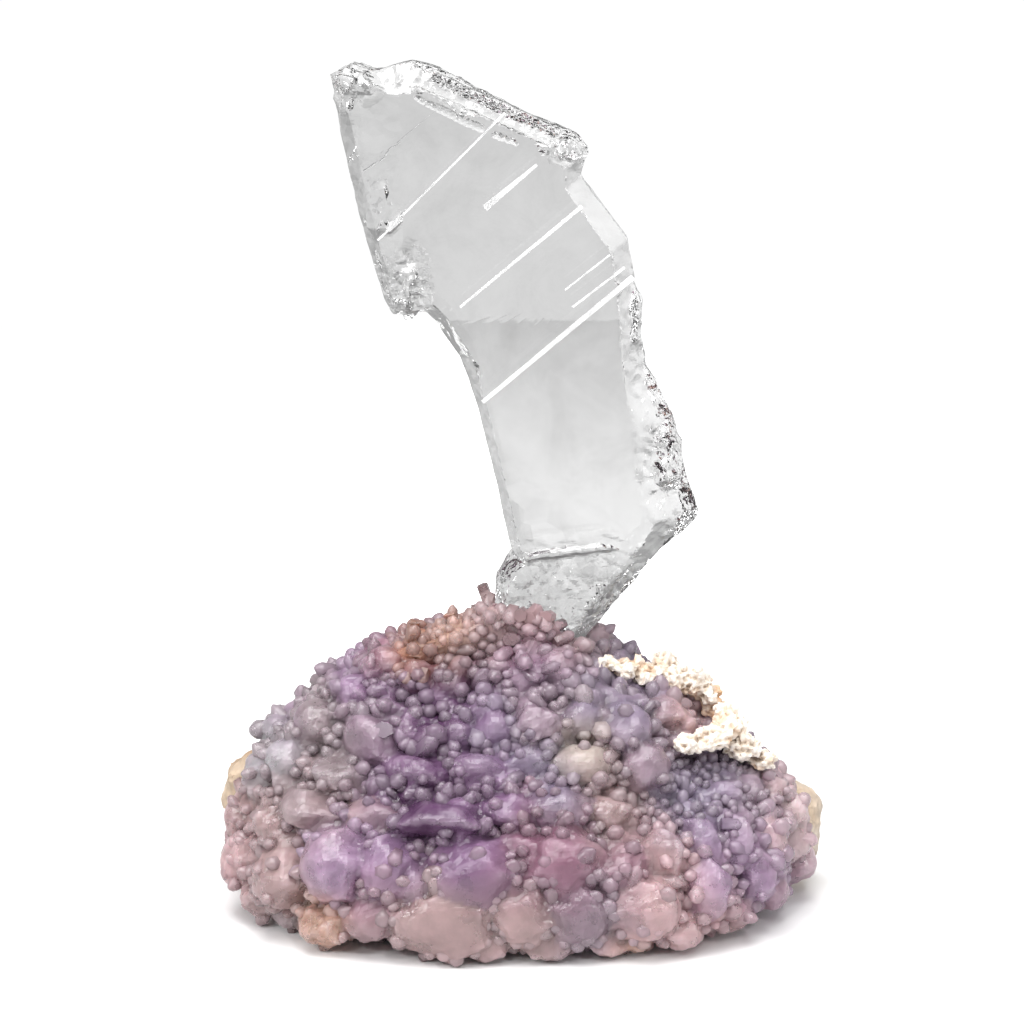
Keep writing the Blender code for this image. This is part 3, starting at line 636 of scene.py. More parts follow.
# Crystals of the front, as seen there: (x, z, half width, half height, reach, lean right, lean up, tint,
# share of sugary coating), in millimetres but for the leans and the share
LARGE_CRYSTALS = [
    # skirt, left to right
    (-33.6, 6.6, 4.0, 3.6, 2.4, -0.5, 0.0, "pale_rose", 0.9),
    (-35.0, 2.6, 3.0, 2.4, 1.8, -0.6, -0.2, "pale_rose", 0.9),
    (-30.6, 3.6, 3.4, 2.6, 2.4, -0.4, -0.2, "rose_grey", 0.9),
    (-27.6, 7.6, 4.8, 4.4, 2.2, -0.3, 0.1, "rose_grey", 0.3),
    (-27.0, 2.2, 2.6, 2.2, 2.2, -0.4, -0.4, "clear_grey", 0.5),
    (-22.4, 3.2, 4.4, 3.0, 3.0, -0.1, -0.3, "peach", 1.0),
    (-16.8, 5.0, 4.0, 3.4, 2.6, -0.1, -0.2, "mauve", 0.4),
    (-8.6, 4.4, 6.6, 4.4, 3.6, 0.0, -0.3, "rose_grey", 0.5),
    (-3.6, 1.8, 2.8, 1.8, 3.0, 0.1, -0.5, "pale_rose", 0.7),
    (0.2, 5.4, 4.4, 4.0, 2.6, 0.0, -0.2, "rose_grey", 0.7),
    (4.0, 2.2, 4.2, 2.0, 2.0, 0.0, -0.4, "rose_grey", 0.9),
    (7.4, 5.8, 4.4, 4.0, 2.8, 0.1, -0.2, "grey_lilac", 0.8),
    (10.6, 2.0, 3.2, 1.8, 2.4, 0.1, -0.5, "pale_rose", 0.8),
    (14.0, 1.6, 2.2, 1.7, 3.4, 0.1, -0.6, "peach", 0.4),
    (14.8, 6.2, 4.6, 4.2, 3.2, 0.3, -0.2, "pale_rose", 0.6),
    (19.4, 3.0, 4.2, 2.6, 3.0, 0.3, -0.4, "pale_rose", 0.7),
    (21.8, 7.4, 3.0, 4.6, 3.6, 0.5, -0.3, "lilac", 0.3),
    (25.0, 3.4, 3.2, 2.8, 3.0, 0.5, -0.5, "pale_rose", 0.5),
    (27.6, 7.6, 2.6, 4.0, 3.4, 0.7, -0.3, "lilac", 0.3),
    (30.4, 4.2, 2.6, 2.8, 2.8, 0.7, -0.4, "pale_rose", 0.5),
    # broad blocky crystals of the lower middle
    (-34.0, 11.4, 2.8, 2.8, 2.0, -0.5, 0.2, "rose_grey", 0.8),
    (-29.0, 12.6, 3.8, 2.8, 2.2, -0.3, 0.1, "rose_grey", 0.9),
    (-20.6, 10.4, 5.0, 5.0, 4.0, -0.1, 0.0, "lilac", 0.5),
    (-15.4, 10.6, 4.4, 4.4, 3.4, 0.0, -0.1, "lilac", 0.4),
    (-11.6, 8.8, 2.2, 2.8, 3.4, 0.1, -0.2, "lilac", 0.2),
    (-5.6, 10.6, 6.0, 4.4, 4.2, 0.0, 0.0, "violet", 0.3),
    (0.4, 11.0, 3.0, 4.2, 2.2, 0.1, 0.0, "deep_mauve", 0.2),
    (5.6, 11.2, 5.4, 4.2, 3.2, 0.1, 0.0, "mauve", 0.4),
    (11.4, 10.4, 4.4, 3.6, 2.4, 0.2, 0.0, "mauve", 0.5),
    (16.6, 11.0, 3.4, 4.0, 2.8, 0.4, -0.1, "rose_grey", 0.6),
    (21.2, 12.0, 2.2, 3.8, 3.2, 0.6, -0.3, "lilac", 0.2),
    (25.4, 11.4, 2.4, 4.2, 3.4, 0.8, -0.2, "lilac", 0.2),
    (29.6, 11.0, 2.4, 3.2, 2.8, 0.9, -0.1, "pale_rose", 0.3),
    (33.2, 8.6, 2.4, 2.8, 2.2, 0.9, 0.0, "pale", 0.5),
    # left slope
    (-31.0, 16.4, 2.8, 2.6, 2.2, -0.5, 0.4, "clear_grey", 0.2),
    (-25.0, 15.4, 5.0, 2.6, 2.8, -0.4, 0.1, "smoky", 0.2),
    (-27.4, 19.6, 3.4, 3.0, 2.6, -0.5, 0.5, "clear_grey", 0.1),
    (-21.6, 19.4, 4.0, 2.6, 2.8, -0.2, 0.4, "smoky", 0.1),
    (-24.0, 23.8, 3.6, 3.2, 2.2, -0.4, 0.6, "smoky", 0.2),
    (-17.8, 23.2, 4.2, 3.0, 2.8, -0.1, 0.5, "grey_lilac", 0.1),
    (-19.4, 27.4, 3.2, 2.4, 2.0, -0.3, 0.6, "violet", 0.2),
    # deep violet shelf and the slabs round it
    (-16.6, 15.6, 4.4, 2.2, 3.0, -0.5, -0.1, "rose_grey", 0.1),
    (-9.4, 16.0, 6.4, 2.3, 4.4, -0.1, -0.3, "deep_violet", 0.0),
    (-12.4, 19.8, 4.6, 2.4, 3.0, -0.1, 0.2, "violet", 0.1),
    (-4.8, 20.2, 4.4, 2.4, 2.4, 0.1, 0.3, "violet", 0.1),
    (-0.8, 16.2, 4.0, 2.8, 3.0, 0.1, 0.0, "violet", 0.2),
    (5.0, 16.6, 4.4, 3.0, 2.8, 0.2, 0.0, "slate", 0.2),
    (1.8, 21.2, 3.4, 2.4, 2.2, 0.1, 0.3, "slate", 0.1),
    (7.6, 20.8, 4.2, 2.8, 2.6, 0.2, 0.4, "honey_grey", 0.0),
    (10.8, 16.0, 3.4, 2.8, 2.2, 0.2, 0.1, "rose_grey", 0.5),
    # small crystals of the upper middle
    (-12.8, 24.4, 2.8, 2.4, 2.4, -0.1, 0.3, "violet", 0.1),
    (-7.6, 24.0, 3.0, 2.2, 2.0, 0.0, 0.3, "deep_violet", 0.1),
    (-2.6, 24.8, 2.8, 2.4, 2.2, 0.0, 0.3, "violet", 0.2),
    (2.6, 25.6, 3.4, 2.8, 3.0, 0.1, 0.4, "grey_lilac", 0.8),
    (7.6, 25.6, 2.8, 2.4, 2.4, 0.3, 0.5, "slate", 0.4),
    # tall clear crystals under the upper crust
    (12.6, 24.6, 3.4, 3.8, 3.4, 0.2, 0.7, "slate", 0.0),
    (14.8, 20.4, 3.6, 3.4, 3.0, 0.4, 0.3, "grey_lilac", 0.1),
    (18.0, 25.2, 3.4, 2.2, 2.4, 0.8, 0.2, "pale_rose", 0.1),
    # right shoulder
    (30.4, 15.4, 2.8, 2.6, 2.2, 0.8, 0.5, "pale_rose", 0.7),
    (33.4, 12.4, 2.6, 2.6, 2.2, 0.9, 0.3, "pale", 0.7),
]
LEAN = 0.8
FAR_IN_FRONT = -60
NEAR_FRONT = -8
LOWEST_SEAT = 2.0


def front_seat(x, z):
    """The place on the body straight behind this x and z, seen from the front, and its normal."""
    start = Vector((x * MM, FAR_IN_FRONT * MM, max(z, LOWEST_SEAT) * MM))
    spot, normal, _, _ = mass_tree.ray_cast(start, Vector((0, 1, 0)))
    if spot is None:
        spot, normal, _, _ = mass_tree.find_nearest(Vector((x * MM, NEAR_FRONT * MM, z * MM)))
    return spot, normal


def seat_matrix(spot, direction, across, up, long, spin):
    """Stands a form on a spot, along a direction, with half sizes in metres."""
    turn = direction.to_track_quat("Z", "Y").to_matrix().to_4x4()
    size = Matrix.Diagonal(Vector((across, up, long, 1.0)))
    return Matrix.Translation(spot) @ turn @ size @ Matrix.Rotation(spin, 4, "Z")


dice = random.Random(6)


def random_tilt(*spreads):
    """A random lean, with a spread each along x, y and z."""
    return Vector([dice.gauss(0, spread) for spread in spreads])


PRESS_DEPTH = 4 * MM


def stay_within_solids(obj):
    """Presses what stands out of the solids' own box softly back into it, and flattens the underside."""
    places = points_of(obj.data)
    for axis in (0, 1):
        for side in (0, 1):
            sign = 1 if side else -1
            start = cad_box[side][axis] * sign - PRESS_DEPTH
            past = places[:, axis] * sign - start
            pressed = start + PRESS_DEPTH * np.tanh(past / PRESS_DEPTH)
            places[:, axis] = np.where(past > 0, pressed * sign, places[:, axis])
    places[:, 2] = np.maximum(places[:, 2], 0.0)
    obj.data.vertices.foreach_set("co", places.ravel())
    obj.data.update()


# Large crystals: how far they turn from their seat's normal, their size against the table's, and how
# deep they sit in the body
LARGE_TILT = (0.22, 0.15, 0.22)
LARGE_NORMAL_PULL = 0.3
LARGE_TONES = (0.9, 1.1)
WIDTH_SHARE = 0.95
LENGTH_SHARE = 0.85
REACH_SHARE = 0.25
SEAT_DEPTH = 1.1
large_seats = []
planted = []
for number, (x, z, across, up, reach, lean_right, lean_up, tint, sugar) in enumerate(LARGE_CRYSTALS):
    spot, normal = front_seat(x, z)
    direction = (spot - GROWTH_CENTRE).normalized() + Vector((lean_right, 0, lean_up)) * LEAN
    tilt = random_tilt(*LARGE_TILT)
    direction = (direction.normalized() + LARGE_NORMAL_PULL * normal + tilt).normalized()
    mean = (across + up) / 2
    colour = QUARTZ_TINTS[tint] * dice.uniform(*LARGE_TONES)
    matrix = seat_matrix(
        spot + direction * (REACH_SHARE * reach - SEAT_DEPTH) * MM,
        direction,
        across * WIDTH_SHARE * MM,
        up * WIDTH_SHARE * MM,
        mean * LENGTH_SHARE * MM,
        dice.uniform(0, math.tau),
    )
    large_seats.append((number % len(LARGE_POINTS), matrix, colour, sugar))
    planted.append((spot, mean * MM))


def surface_spots(count, chance):
    """Random places spread evenly over the body, one row each."""
    mesh = mass.data
    mesh.calc_loop_triangles()
    corners = points_of(mesh)
    triangles = np.array([triangle.vertices[:] for triangle in mesh.loop_triangles])
    sides = corners[triangles]
    across = np.cross(sides[:, 1] - sides[:, 0], sides[:, 2] - sides[:, 0])
    areas = np.linalg.norm(across, axis=1)
    picks = chance.choice(len(triangles), size=count, p=areas / areas.sum())
    shares = chance.random((count, 2))
    folded = shares.sum(1) > 1
    shares[folded] = 1 - shares[folded]
    spots = sides[picks, 0]
    spots = spots + shares[:, :1] * (sides[picks, 1] - sides[picks, 0])
    return spots + shares[:, 1:] * (sides[picks, 2] - sides[picks, 0])


class Crowd:
    """Remembers what is already planted, so that crystals keep a distance from each other."""

    # How far round a crystal others are looked for, in its own distances
    SEARCH = 2.2

    def __init__(self, cell):
        self.cell = cell
        self.rows = {}

    def near(self, spot, radius):
        """Whether anything stands closer than the mean of its distance and this one."""
        reach = math.ceil((radius * self.SEARCH) / self.cell)
        key = [int(math.floor(value / self.cell)) for value in spot]
        for i in range(key[0] - reach, key[0] + reach + 1):
            for j in range(key[1] - reach, key[1] + reach + 1):
                for k in range(key[2] - reach, key[2] + reach + 1):
                    for x, y, z, other in self.rows.get((i, j, k), ()):
                        away = (x - spot[0]) ** 2 + (y - spot[1]) ** 2 + (z - spot[2]) ** 2
                        if away < (0.5 * (radius + other)) ** 2:
                            return True
        return False

    def add(self, spot, radius):
        """Plants something here that keeps this distance."""
        key = tuple(int(math.floor(value / self.cell)) for value in spot)
        self.rows.setdefault(key, []).append((*spot, radius))


# Medium crystals fill the gaps between the large ones, all round and up to the fine druse of the top
LARGE_SPACING = 0.9
MEDIUM_SPACING = 0.85
MEDIUM_TRIES = 9000
MEDIUM_HALF_WIDTHS = (1.3, 2.9)
MEDIUM_LOWEST = 1.5 * MM
MEDIUM_HIGHEST = 31 * MM
MEDIUM_TILT = (0.25, 0.25, 0.25)
MEDIUM_NORMAL_PULL = 0.6
MEDIUM_FLATNESS = (0.7, 1.0)
MEDIUM_LENGTH_SHARE = 0.9
MEDIUM_TONES = (0.85, 1.15)
MEDIUM_SUGAR = 0.3
medium_crowd = Crowd(2 * MM)
for spot, radius in planted:
    medium_crowd.add(spot, LARGE_SPACING * radius)
chance = np.random.default_rng(12)
medium_spots = []
for spot in surface_spots(MEDIUM_TRIES, chance):
    radius = dice.uniform(*MEDIUM_HALF_WIDTHS) * MM
    if spot[2] > MEDIUM_HIGHEST or spot[2] < MEDIUM_LOWEST:
        continue
    if not medium_crowd.near(spot, radius * MEDIUM_SPACING):
        medium_crowd.add(spot, radius * MEDIUM_SPACING)
        medium_spots.append((spot, radius))
medium_tints = tints_at(np.array([spot for spot, _ in medium_spots]))
for (spot, radius), colour in zip(medium_spots, medium_tints):
    spot = Vector(spot)
    _, normal, _, _ = mass_tree.find_nearest(spot)
    tilt = random_tilt(*MEDIUM_TILT)
    direction = ((spot - GROWTH_CENTRE).normalized() + MEDIUM_NORMAL_PULL * normal + tilt).normalized()
    matrix = seat_matrix(
        spot,
        direction,
        radius,
        radius * dice.uniform(*MEDIUM_FLATNESS),
        radius * MEDIUM_LENGTH_SHARE,
        dice.uniform(0, math.tau),
    )
    point = dice.randrange(len(LARGE_POINTS))
    large_seats.append((point, matrix, colour * dice.uniform(*MEDIUM_TONES), MEDIUM_SUGAR))

# The crystals become one skin, which takes its tint and its sugary coating from the crystal below it
SKIN_GRAIN = 0.48 * MM
SUGAR_WIDTH, SUGAR_HEIGHT, SUGAR_MIDDLE = 1.0 * MM, 0.4 * MM, 0.35
RIPPLE_WIDTH, RIPPLE_HEIGHT = 1.4 * MM, 0.35 * MM
OWN_TINT_SHARE = 0.4
CRYSTAL_TONE = 1.2
PAINTED_SHADE_GAIN = 2.2
PAINTED_SHADE_LIMITS = (0.55, 1.3)
RIDGE_WEAR_AND_HIGHLIGHT_GAIN = 2.0
RIDGE_WEAR_AND_HIGHLIGHT_START = 0.06
RIDGE_WEAR_AND_HIGHLIGHT_MOST = 0.5
large = grown("large_crystals", LARGE_POINTS, [seat[:3] for seat in large_seats])
face_seat = []
for number, seat in enumerate(large_seats):
    face_seat.extend([number] * len(LARGE_POINTS[seat[0]].faces))
loose_tree = BVHTree.FromObject(large, bpy.context.evaluated_depsgraph_get())
large.data.attributes.remove(large.data.attributes["tint"])
large.data.attributes.remove(large.data.attributes["edge"])
skin_over(large, SKIN_GRAIN)
owners = np.array([face_seat[loose_tree.find_nearest(Vector(spot))[2]] for spot in points_of(large.data)])
seat_tints = np.array([seat[2] for seat in large_seats])
seat_sugar = np.array([seat[3] for seat in large_seats])
coating = large.vertex_groups.new(name="sugar")
for share in np.unique(seat_sugar):
    if share > 0:
        coating.add(np.nonzero(seat_sugar[owners] == share)[0].tolist(), float(share), "REPLACE")
roughen(large, "VORONOI", SUGAR_WIDTH, -SUGAR_HEIGHT, middle=SUGAR_MIDDLE, group="sugar")
roughen(large, "CLOUDS", RIPPLE_WIDTH, RIPPLE_HEIGHT, depth=2)
stay_within_solids(large)
bend = hollows_of(large.data)
zone_tints = tints_at(points_of(large.data))
tints = OWN_TINT_SHARE * seat_tints[owners] + (1 - OWN_TINT_SHARE) * zone_tints
# Painted shade: the tint is darkened in the hollows between crystals and lightened on the ridges
tints *= CRYSTAL_TONE * np.clip(1.0 - PAINTED_SHADE_GAIN * bend, *PAINTED_SHADE_LIMITS)[:, None]
# Ridges get pale edges, part wear and part a painted highlight
paint(large, tints, np.clip(-bend * RIDGE_WEAR_AND_HIGHLIGHT_GAIN - RIDGE_WEAR_AND_HIGHLIGHT_START, 0, RIDGE_WEAR_AND_HIGHLIGHT_MOST))
crystal_quartz = quartz(
    "amethyst_crystals", transmission=0.5, gloss=0.06, cloud_depth=0.22, bump=0.35, subsurface=0.15
)
large.data.materials.append(crystal_quartz)
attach(large, "root")

# Amethyst, the fine druse. A crust of small bright quartz points, 1.5 to 2 mm across, over the ledge at
# the left, the saddle round the blade's foot, the upper slope and the right shoulder. Three points are
# modelled and copied, and each is rooted in the skin of the large crystals.
FINE_POINTS = [
    Shape(quartz_point("fine_point", steps, wear, seed))
    for steps, wear, seed in (
        ([(0.55, 0.4, 0.1)], 0.16, 3),
        ([(0.35, 0.7, 0.0), (0.3, 0.35, 0.1)], 0.14, 4),
        ([(0.7, 0.25, -0.1)], 0.14, 5),
    )
]
# Where the druse grows: (x, z, reach across, reach up, half size, density), in millimetres
DRUSE_ZONES = [
    (3.0, 36.0, 9.0, 7.0, 0.85, 1.0),
    (-11.5, 32.6, 8.0, 4.5, 0.85, 1.0),
    (2.6, 29.5, 9.0, 5.0, 1.05, 0.9),
    (-5.0, 29.0, 5.0, 4.0, 0.95, 0.8),
    (23.0, 16.5, 7.5, 4.0, 0.75, 1.0),
    (31.5, 13.0, 4.5, 4.5, 1.0, 0.8),
    (-29.5, 22.0, 3.0, 4.5, 1.0, 0.6),
    (-10.0, 25.5, 7.0, 3.0, 1.2, 0.6),
    (12.0, 18.5, 4.0, 2.5, 1.0, 0.6),
]
# Outside the zones: a thinner crust, and one a little thicker at the back
SPARSE_DENSITY = 0.2
SPARSE_HALF_SIZE = 0.9
BACK_DENSITY = 0.35
BACK_FROM_Y = 9 * MM
# A zone thins out past its rim, by this much for each squared share of its reach
RIM_FADE = 1.2


def druse_at(spot):
    """Half size and density of the druse at a place."""
    best, size = SPARSE_DENSITY, SPARSE_HALF_SIZE
    x, z = spot[0] / MM, spot[2] / MM
    for zone_x, zone_z, across, up, half, density in DRUSE_ZONES:
        away = ((x - zone_x) / across) ** 2 + ((z - zone_z) / up) ** 2
        value = density * (1.0 if away < 1 else max(0.0, 1.0 + RIM_FADE - RIM_FADE * away))
        if value > best:
            best, size = value, half
    return size, best


FINE_TRIES = 36000
FINE_LOWEST = 1.5 * MM
FINE_SIZES = (0.75, 1.25)
FINE_SPACING = 1.55
FINE_TILT = (0.28, 0.28, 0.28)
FINE_FLATNESS = (0.8, 1.0)
FINE_LENGTHS = (0.9, 1.3)
FINE_TONES = (0.8, 1.2)
FINE_ROOT = 0.1
DRUSE_SMOOTH_ANGLE = math.radians(50)
# The skin is looked for from this far above the body, down to just below it, and used up to a height
LOOK_FROM = 6 * MM
LOOK_DEPTH = 7 * MM
HIGHEST_SKIN = 4 * MM
large_tree = BVHTree.FromObject(large, bpy.context.evaluated_depsgraph_get())
fine_crowd = Crowd(1 * MM)
fine_spots = []
for spot in surface_spots(FINE_TRIES, chance):
    half_size, density = druse_at(spot)
    if spot[1] > BACK_FROM_Y:
        density = max(density, BACK_DENSITY)
    if spot[2] < FINE_LOWEST or dice.random() > density:
        continue
    radius = half_size * dice.uniform(*FINE_SIZES) * MM
    if not fine_crowd.near(spot, radius * FINE_SPACING):
        fine_crowd.add(spot, radius * FINE_SPACING)
        fine_spots.append((Vector(spot), radius))
fine_tints = tints_at(np.array([spot[:] for spot, _ in fine_spots]))
fine_seats = []
for (spot, radius), colour in zip(fine_spots, fine_tints):
    _, normal, _, _ = mass_tree.find_nearest(spot)
    top, _, _, _ = large_tree.ray_cast(spot + normal * LOOK_FROM, -normal, LOOK_DEPTH)
    if top is not None and (top - spot).length < HIGHEST_SKIN:
        spot = top
    direction = (normal + random_tilt(*FINE_TILT)).normalized()
    matrix = seat_matrix(
        spot - direction * FINE_ROOT * radius,
        direction,
        radius,
        radius * dice.uniform(*FINE_FLATNESS),
        radius * dice.uniform(*FINE_LENGTHS),
        dice.uniform(0, math.tau),
    )
    fine_seats.append((dice.randrange(len(FINE_POINTS)), matrix, colour * dice.uniform(*FINE_TONES)))
druse = grown("fine_druse", FINE_POINTS, fine_seats)
alone(druse)
bpy.ops.object.shade_smooth_by_angle(angle=DRUSE_SMOOTH_ANGLE)
stay_within_solids(druse)
fine_quartz = quartz("druse_quartz", transmission=0.6, gloss=0.03, cloud_depth=0.12, bump=0.05)
druse.data.materials.append(fine_quartz)
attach(druse, "root")

# Calcite, the blade. A cleaved, water-clear slab 9 mm thick. Its broad faces are flat cleavages, and its
# broken edges are crackled glass, made by skinning the solid, breaking up the edges and facetting them.
FRONT_FACE_Y = -4.0 * MM
BACK_FACE_Y = 5.0 * MM
BLADE_GRAIN = 0.32 * MM
# A face is kept flat down to this depth, where it is less broken than the limit, and in front only to the
# right of the tab, whose x is in millimetres. The rim is broken everywhere by at least its own share.
FACE_DEPTH = 0.3 * MM
CLEAR_LIMIT = 0.05
TAB_X = -13.4
RIM_LEAST = 0.22
CHIP_WIDTH, CHIP_DEPTH = 0.9 * MM, 0.22
BREAK_WIDTH, BREAK_DEPTH = 2.4 * MM, 0.45
FACES_KEPT = 0.3
NOISE_SEED = 4
# Broken zones: (x, z, reach across, reach up, strength), in millimetres, fading out at their rim
ZONE_RIM = 1.5
BROKEN_ZONES = [
    (-19.5, 99.0, 3.2, 3.2, 1.0),
    (-12.8, 75.0, 2.4, 4.6, 1.0),
    (17.0, 56.0, 2.6, 8.0, 0.9),
    (14.2, 70.0, 1.6, 9.0, 0.8),
    (6.0, 92.0, 3.0, 2.2, 0.9),
    (7.0, 38.0, 9.0, 6.0, 0.7),
    (20.0, 47.5, 3.5, 3.0, 0.7),
    (-6.0, 99.5, 12.0, 1.4, 0.6),
    (0.0, 96.6, 8.0, 1.2, 0.5),
]
blade = copy_of_solid("calcite_blade", "calcite_blade_clear")
skin_over(blade, BLADE_GRAIN)
places = points_of(blade.data)
x, z = places[:, 0] / MM, places[:, 2] / MM
broken = np.zeros(len(places))
for zone_x, zone_z, across, up, strength in BROKEN_ZONES:
    away = ((x - zone_x) / across) ** 2 + ((z - zone_z) / up) ** 2
    broken = np.maximum(broken, strength * np.clip(ZONE_RIM - away, 0, 1))
clear = broken < CLEAR_LIMIT
flat_front = (places[:, 1] < FRONT_FACE_Y + FACE_DEPTH) & clear & (x > TAB_X)
flat_back = (places[:, 1] > BACK_FACE_Y - FACE_DEPTH) & clear
rim = (~flat_front) & (~flat_back)
roughness = np.where(rim, RIM_LEAST + (1 - RIM_LEAST) * broken, 0.0)
noise.seed_set(NOISE_SEED)
chips = np.array([noise.noise_vector(Vector(spot) / CHIP_WIDTH)[:] for spot in places])
breaks = np.array([noise.noise_vector(Vector(spot) / BREAK_WIDTH)[:] for spot in places])
places = places + (CHIP_DEPTH * chips + BREAK_DEPTH * breaks) * roughness[:, None] * MM
places[flat_front, 1] = FRONT_FACE_Y
places[flat_back, 1] = BACK_FACE_Y
blade.data.vertices.foreach_set("co", places.ravel())
blade.data.update()
facet = blade.modifiers.new("facet", "DECIMATE")
facet.ratio = FACES_KEPT
apply_modifiers(blade)

# The crystal is veiled with faint clouds, and patched like scales over its lower left part
calcite, tree, calcite_shader = new_material(
    "clear_calcite", {"IOR": 1.6, "Transmission Weight": 1.0, "Roughness": 0.02}
)
where = add_node(tree, "TexCoord").outputs["Object"]
veil = add_node(
    tree, "TexNoise", {"Vector": where, "Scale": 110, "Detail": 5, "Roughness": 0.62, "Distortion": 0.7}
)
veil_tone = add_ramp(tree, veil.outputs["Fac"], [(0.3, grey(0.74)), (0.5, grey(0.88)), (0.7, grey(0.95))])
scales = add_node(tree, "TexVoronoi", {"Vector": where, "Scale": 260, "Randomness": 1.0}, feature="F1")
patch = add_node(tree, "SeparateColor", {"Color": scales.outputs["Color"]})
patch_tone = add_node(
    tree, "MapRange", {"Value": patch.outputs["Red"], "To Min": 0.66, "To Max": 0.98}
).outputs["Result"]
split = add_node(tree, "SeparateXYZ", {"Vector": where})
leaning = add_node(
    tree, "Math", {0: split.outputs["X"], 1: split.outputs["Z"]}, operation="ADD"
).outputs["Value"]
lower_left = add_node(
    tree,
    "MapRange",
    {"Value": leaning, "From Min": 56 * MM, "From Max": 50 * MM},
    interpolation_type="SMOOTHSTEP",
).outputs["Result"]
patched = add_node(
    tree, "Mix", {"Factor": lower_left, "A": 1.0, "B": patch_tone}, data_type="FLOAT"
).outputs["Result"]
tone = add_node(tree, "VectorMath", {0: veil_tone, "Scale": patched}, operation="SCALE")
tree.links.new(tone.outputs["Vector"], calcite_shader.inputs["Base Color"])
blade.data.materials.append(calcite)
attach(blade, "root")
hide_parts("calcite_blade")

# Calcite, the healed twin seams. Thin bright planes that cross the blade at a slant, where two twins of the
# crystal meet. Each is a thin, slightly uneven bar set into the front face.
SEAM_DEPTH = 0.25 * MM
SEAM_UNEVENNESS = 0.03 * MM
# (x, z) of the lower end and of the upper end, width at the lower end, width at the upper, in millimetres
SEAMS = [
    ((-16.2, 81.0), (-1.5, 95.6), 0.22, 0.20),
    ((-3.8, 84.7), (2.2, 89.7), 0.75, 0.30),
    ((-6.7, 73.2), (7.4, 84.9), 0.22, 0.42),
    ((-4.1, 62.0), (13.4, 76.7), 0.42, 0.62),
    ((5.5, 75.2), (10.7, 79.3), 0.15, 0.20),
    ((6.4, 73.2), (12.4, 77.8), 0.20, 0.25),
]
# The seams glow faintly: painted light, standing in for light reflected inside the blade
seam_painted_glow, tree, seam_shader = new_material(
    "healed_seam", {"Roughness": 0.4, "Transmission Weight": 0.4, "Emission Strength": 0.35}
)
where = add_node(tree, "TexCoord").outputs["Object"]
gaps = add_node(tree, "TexNoise", {"Vector": where, "Scale": 420, "Detail": 2})
seam_tone_and_glow = add_ramp(tree, gaps.outputs["Fac"], [(0.3, grey(0.75)), (0.6, grey(1.0))])
tree.links.new(seam_tone_and_glow, seam_shader.inputs["Base Color"])
tree.links.new(seam_tone_and_glow, seam_shader.inputs["Emission Color"])
seam_parts = []
for (low_x, low_z), (high_x, high_z), low_width, high_width in SEAMS:
    low = Vector((low_x, 0, low_z)) * MM
    high = Vector((high_x, 0, high_z)) * MM
    bpy.ops.object.select_all(action="DESELECT")
    bpy.ops.mesh.primitive_cube_add(size=1)
    bar = bpy.context.object
    slope = math.atan2(high.z - low.z, high.x - low.x)
    for vertex in bar.data.vertices:
        along, depth, across = vertex.co
        width = (low_width if along < 0 else high_width) * MM
        vertex.co = (along * (high - low).length, SEAM_DEPTH * depth, across * width)
    bar.rotation_euler = (0, -slope, 0)
    bar.location = ((low.x + high.x) / 2, FRONT_FACE_Y + SEAM_DEPTH, (low.z + high.z) / 2)
    bpy.ops.object.transform_apply(location=True, rotation=True)
    bpy.ops.object.mode_set(mode="EDIT")
    bpy.ops.mesh.select_all(action="SELECT")
    bpy.ops.mesh.subdivide(number_cuts=6)
    bpy.ops.mesh.select_all(action="SELECT")
    bpy.ops.transform.vertex_random(offset=SEAM_UNEVENNESS, seed=2)
    bpy.ops.object.mode_set(mode="OBJECT")
    seam_parts.append(bar)
bpy.ops.object.select_all(action="DESELECT")
for bar in seam_parts:
    bar.select_set(True)
bpy.context.view_layer.objects.active = seam_parts[0]
bpy.ops.object.join()
seams = bpy.context.object
seams.name = "twin_seams"
seams.data.materials.append(seam_painted_glow)
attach(seams, "root")

# White crusts. Chalky carbonate in rough ledges on the right shoulder, cream on top and rusty in the
# hollows. Each is skinned over its solid and eroded in two grains.
CRUST_GRAIN = 0.22 * MM
LUMP_WIDTH, LUMP_HEIGHT = 1.2 * MM, 1.3 * MM
PIT_WIDTH, PIT_DEPTH, PIT_MIDDLE = 0.7 * MM, 0.5 * MM, 0.4
RUST_GAIN, RUST_START = 3.0, 0.15
chalk, tree, chalk_shader = new_material("chalky_crust", {"Roughness": 0.85, "Specular IOR Level": 0.3})
hollow = add_node(tree, "Attribute", attribute_name="edge").outputs["Fac"]
where = add_node(tree, "TexCoord").outputs["Object"]
stain = add_node(tree, "TexNoise", {"Vector": where, "Scale": 230, "Detail": 4})
ochre = add_ramp(tree, stain.outputs["Fac"], [(0.5, shade(240, 232, 222)), (0.72, shade(214, 168, 122))])
cream = add_ramp(
    tree,
    hollow,
    [(0.0, (1, 1, 1)), (0.5, (0.78, 0.70, 0.62)), (1.0, (0.32, 0.26, 0.22))],
)
crusty = add_node(
    tree, "Mix", {"Factor": 1.0, "A": ochre, "B": cream}, data_type="RGBA", blend_type="MULTIPLY"
)
tree.links.new(crusty.outputs["Result"], chalk_shader.inputs["Base Color"])
dust = add_node(tree, "TexNoise", {"Vector": where, "Scale": 2400, "Detail": 3})
dust_bump = add_node(
    tree, "Bump", {"Strength": 0.6, "Distance": 0.12 * MM, "Height": dust.outputs["Fac"]}
)
tree.links.new(dust_bump.outputs["Normal"], chalk_shader.inputs["Normal"])
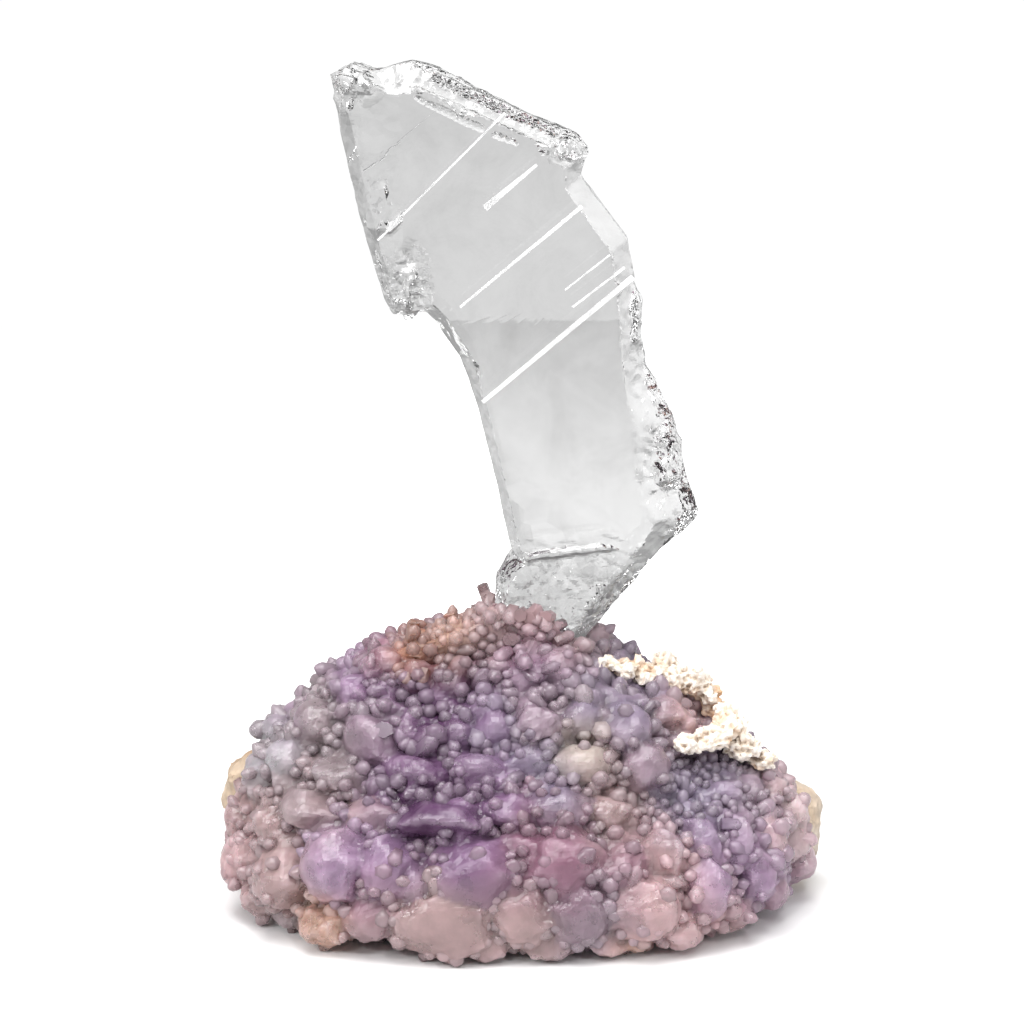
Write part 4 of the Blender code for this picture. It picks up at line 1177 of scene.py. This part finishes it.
for node in ("white_crust_upper", "white_crust_lower"):
    crust = copy_of_solid(node, node.replace("white", "chalky"))
    skin_over(crust, CRUST_GRAIN)
    roughen(crust, "CLOUDS", LUMP_WIDTH, LUMP_HEIGHT, depth=3)
    roughen(crust, "VORONOI", PIT_WIDTH, -PIT_DEPTH, middle=PIT_MIDDLE)
    bend = hollows_of(crust.data)
    rust = np.clip(bend * RUST_GAIN + RUST_START, 0, 1)
    paint(crust, np.ones((len(rust), 3)), rust)
    crust.data.materials.append(chalk)
    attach(crust, "root")
    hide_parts(node)

# Host rock. The tan matrix under and behind the cluster: iron-stained, granular, broken at the back,
# and seen as a knob at each side. It is skinned over its solid, roughened, and kept flat where it rests.
ROCK_GRAIN = 0.6 * MM
ROCK_LUMP_WIDTH, ROCK_LUMP_HEIGHT = 3.0 * MM, 1.4 * MM
RESTING_HEIGHT = 0.3 * MM
stone, tree, stone_shader = new_material(
    "iron_stained_rock", {"Roughness": 0.8, "Specular IOR Level": 0.35}
)
where = add_node(tree, "TexCoord").outputs["Object"]
patches = add_node(tree, "TexNoise", {"Vector": where, "Scale": 90, "Detail": 5})
tan = add_ramp(
    tree,
    patches.outputs["Fac"],
    [(0.32, shade(150, 118, 92)), (0.5, shade(206, 184, 160)), (0.68, shade(232, 218, 204))],
)
grains = add_node(tree, "TexVoronoi", {"Vector": where, "Scale": 900})
grain_tone = add_ramp(tree, grains.outputs["Distance"], [(0.0, grey(1.0)), (0.8, grey(0.7))])
rocky = add_node(
    tree, "Mix", {"Factor": 1.0, "A": tan, "B": grain_tone}, data_type="RGBA", blend_type="MULTIPLY"
)
tree.links.new(rocky.outputs["Result"], stone_shader.inputs["Base Color"])
rock_bump = add_node(
    tree, "Bump", {"Strength": 0.7, "Distance": 0.25 * MM, "Height": grains.outputs["Distance"]}
)
tree.links.new(rock_bump.outputs["Normal"], stone_shader.inputs["Normal"])
rock = copy_of_solid("host_rock", "host_rock_broken")
skin_over(rock, ROCK_GRAIN)
resting = points_of(rock.data)[:, 2] < RESTING_HEIGHT
roughen(rock, "CLOUDS", ROCK_LUMP_WIDTH, ROCK_LUMP_HEIGHT, depth=4)
places = points_of(rock.data)
places[resting, 2] = 0.0
places[:, 2] = np.maximum(places[:, 2], 0.0)
rock.data.vertices.foreach_set("co", places.ravel())
rock.data.update()
rock.data.materials.append(stone)
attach(rock, "root")
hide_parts("host_rock")
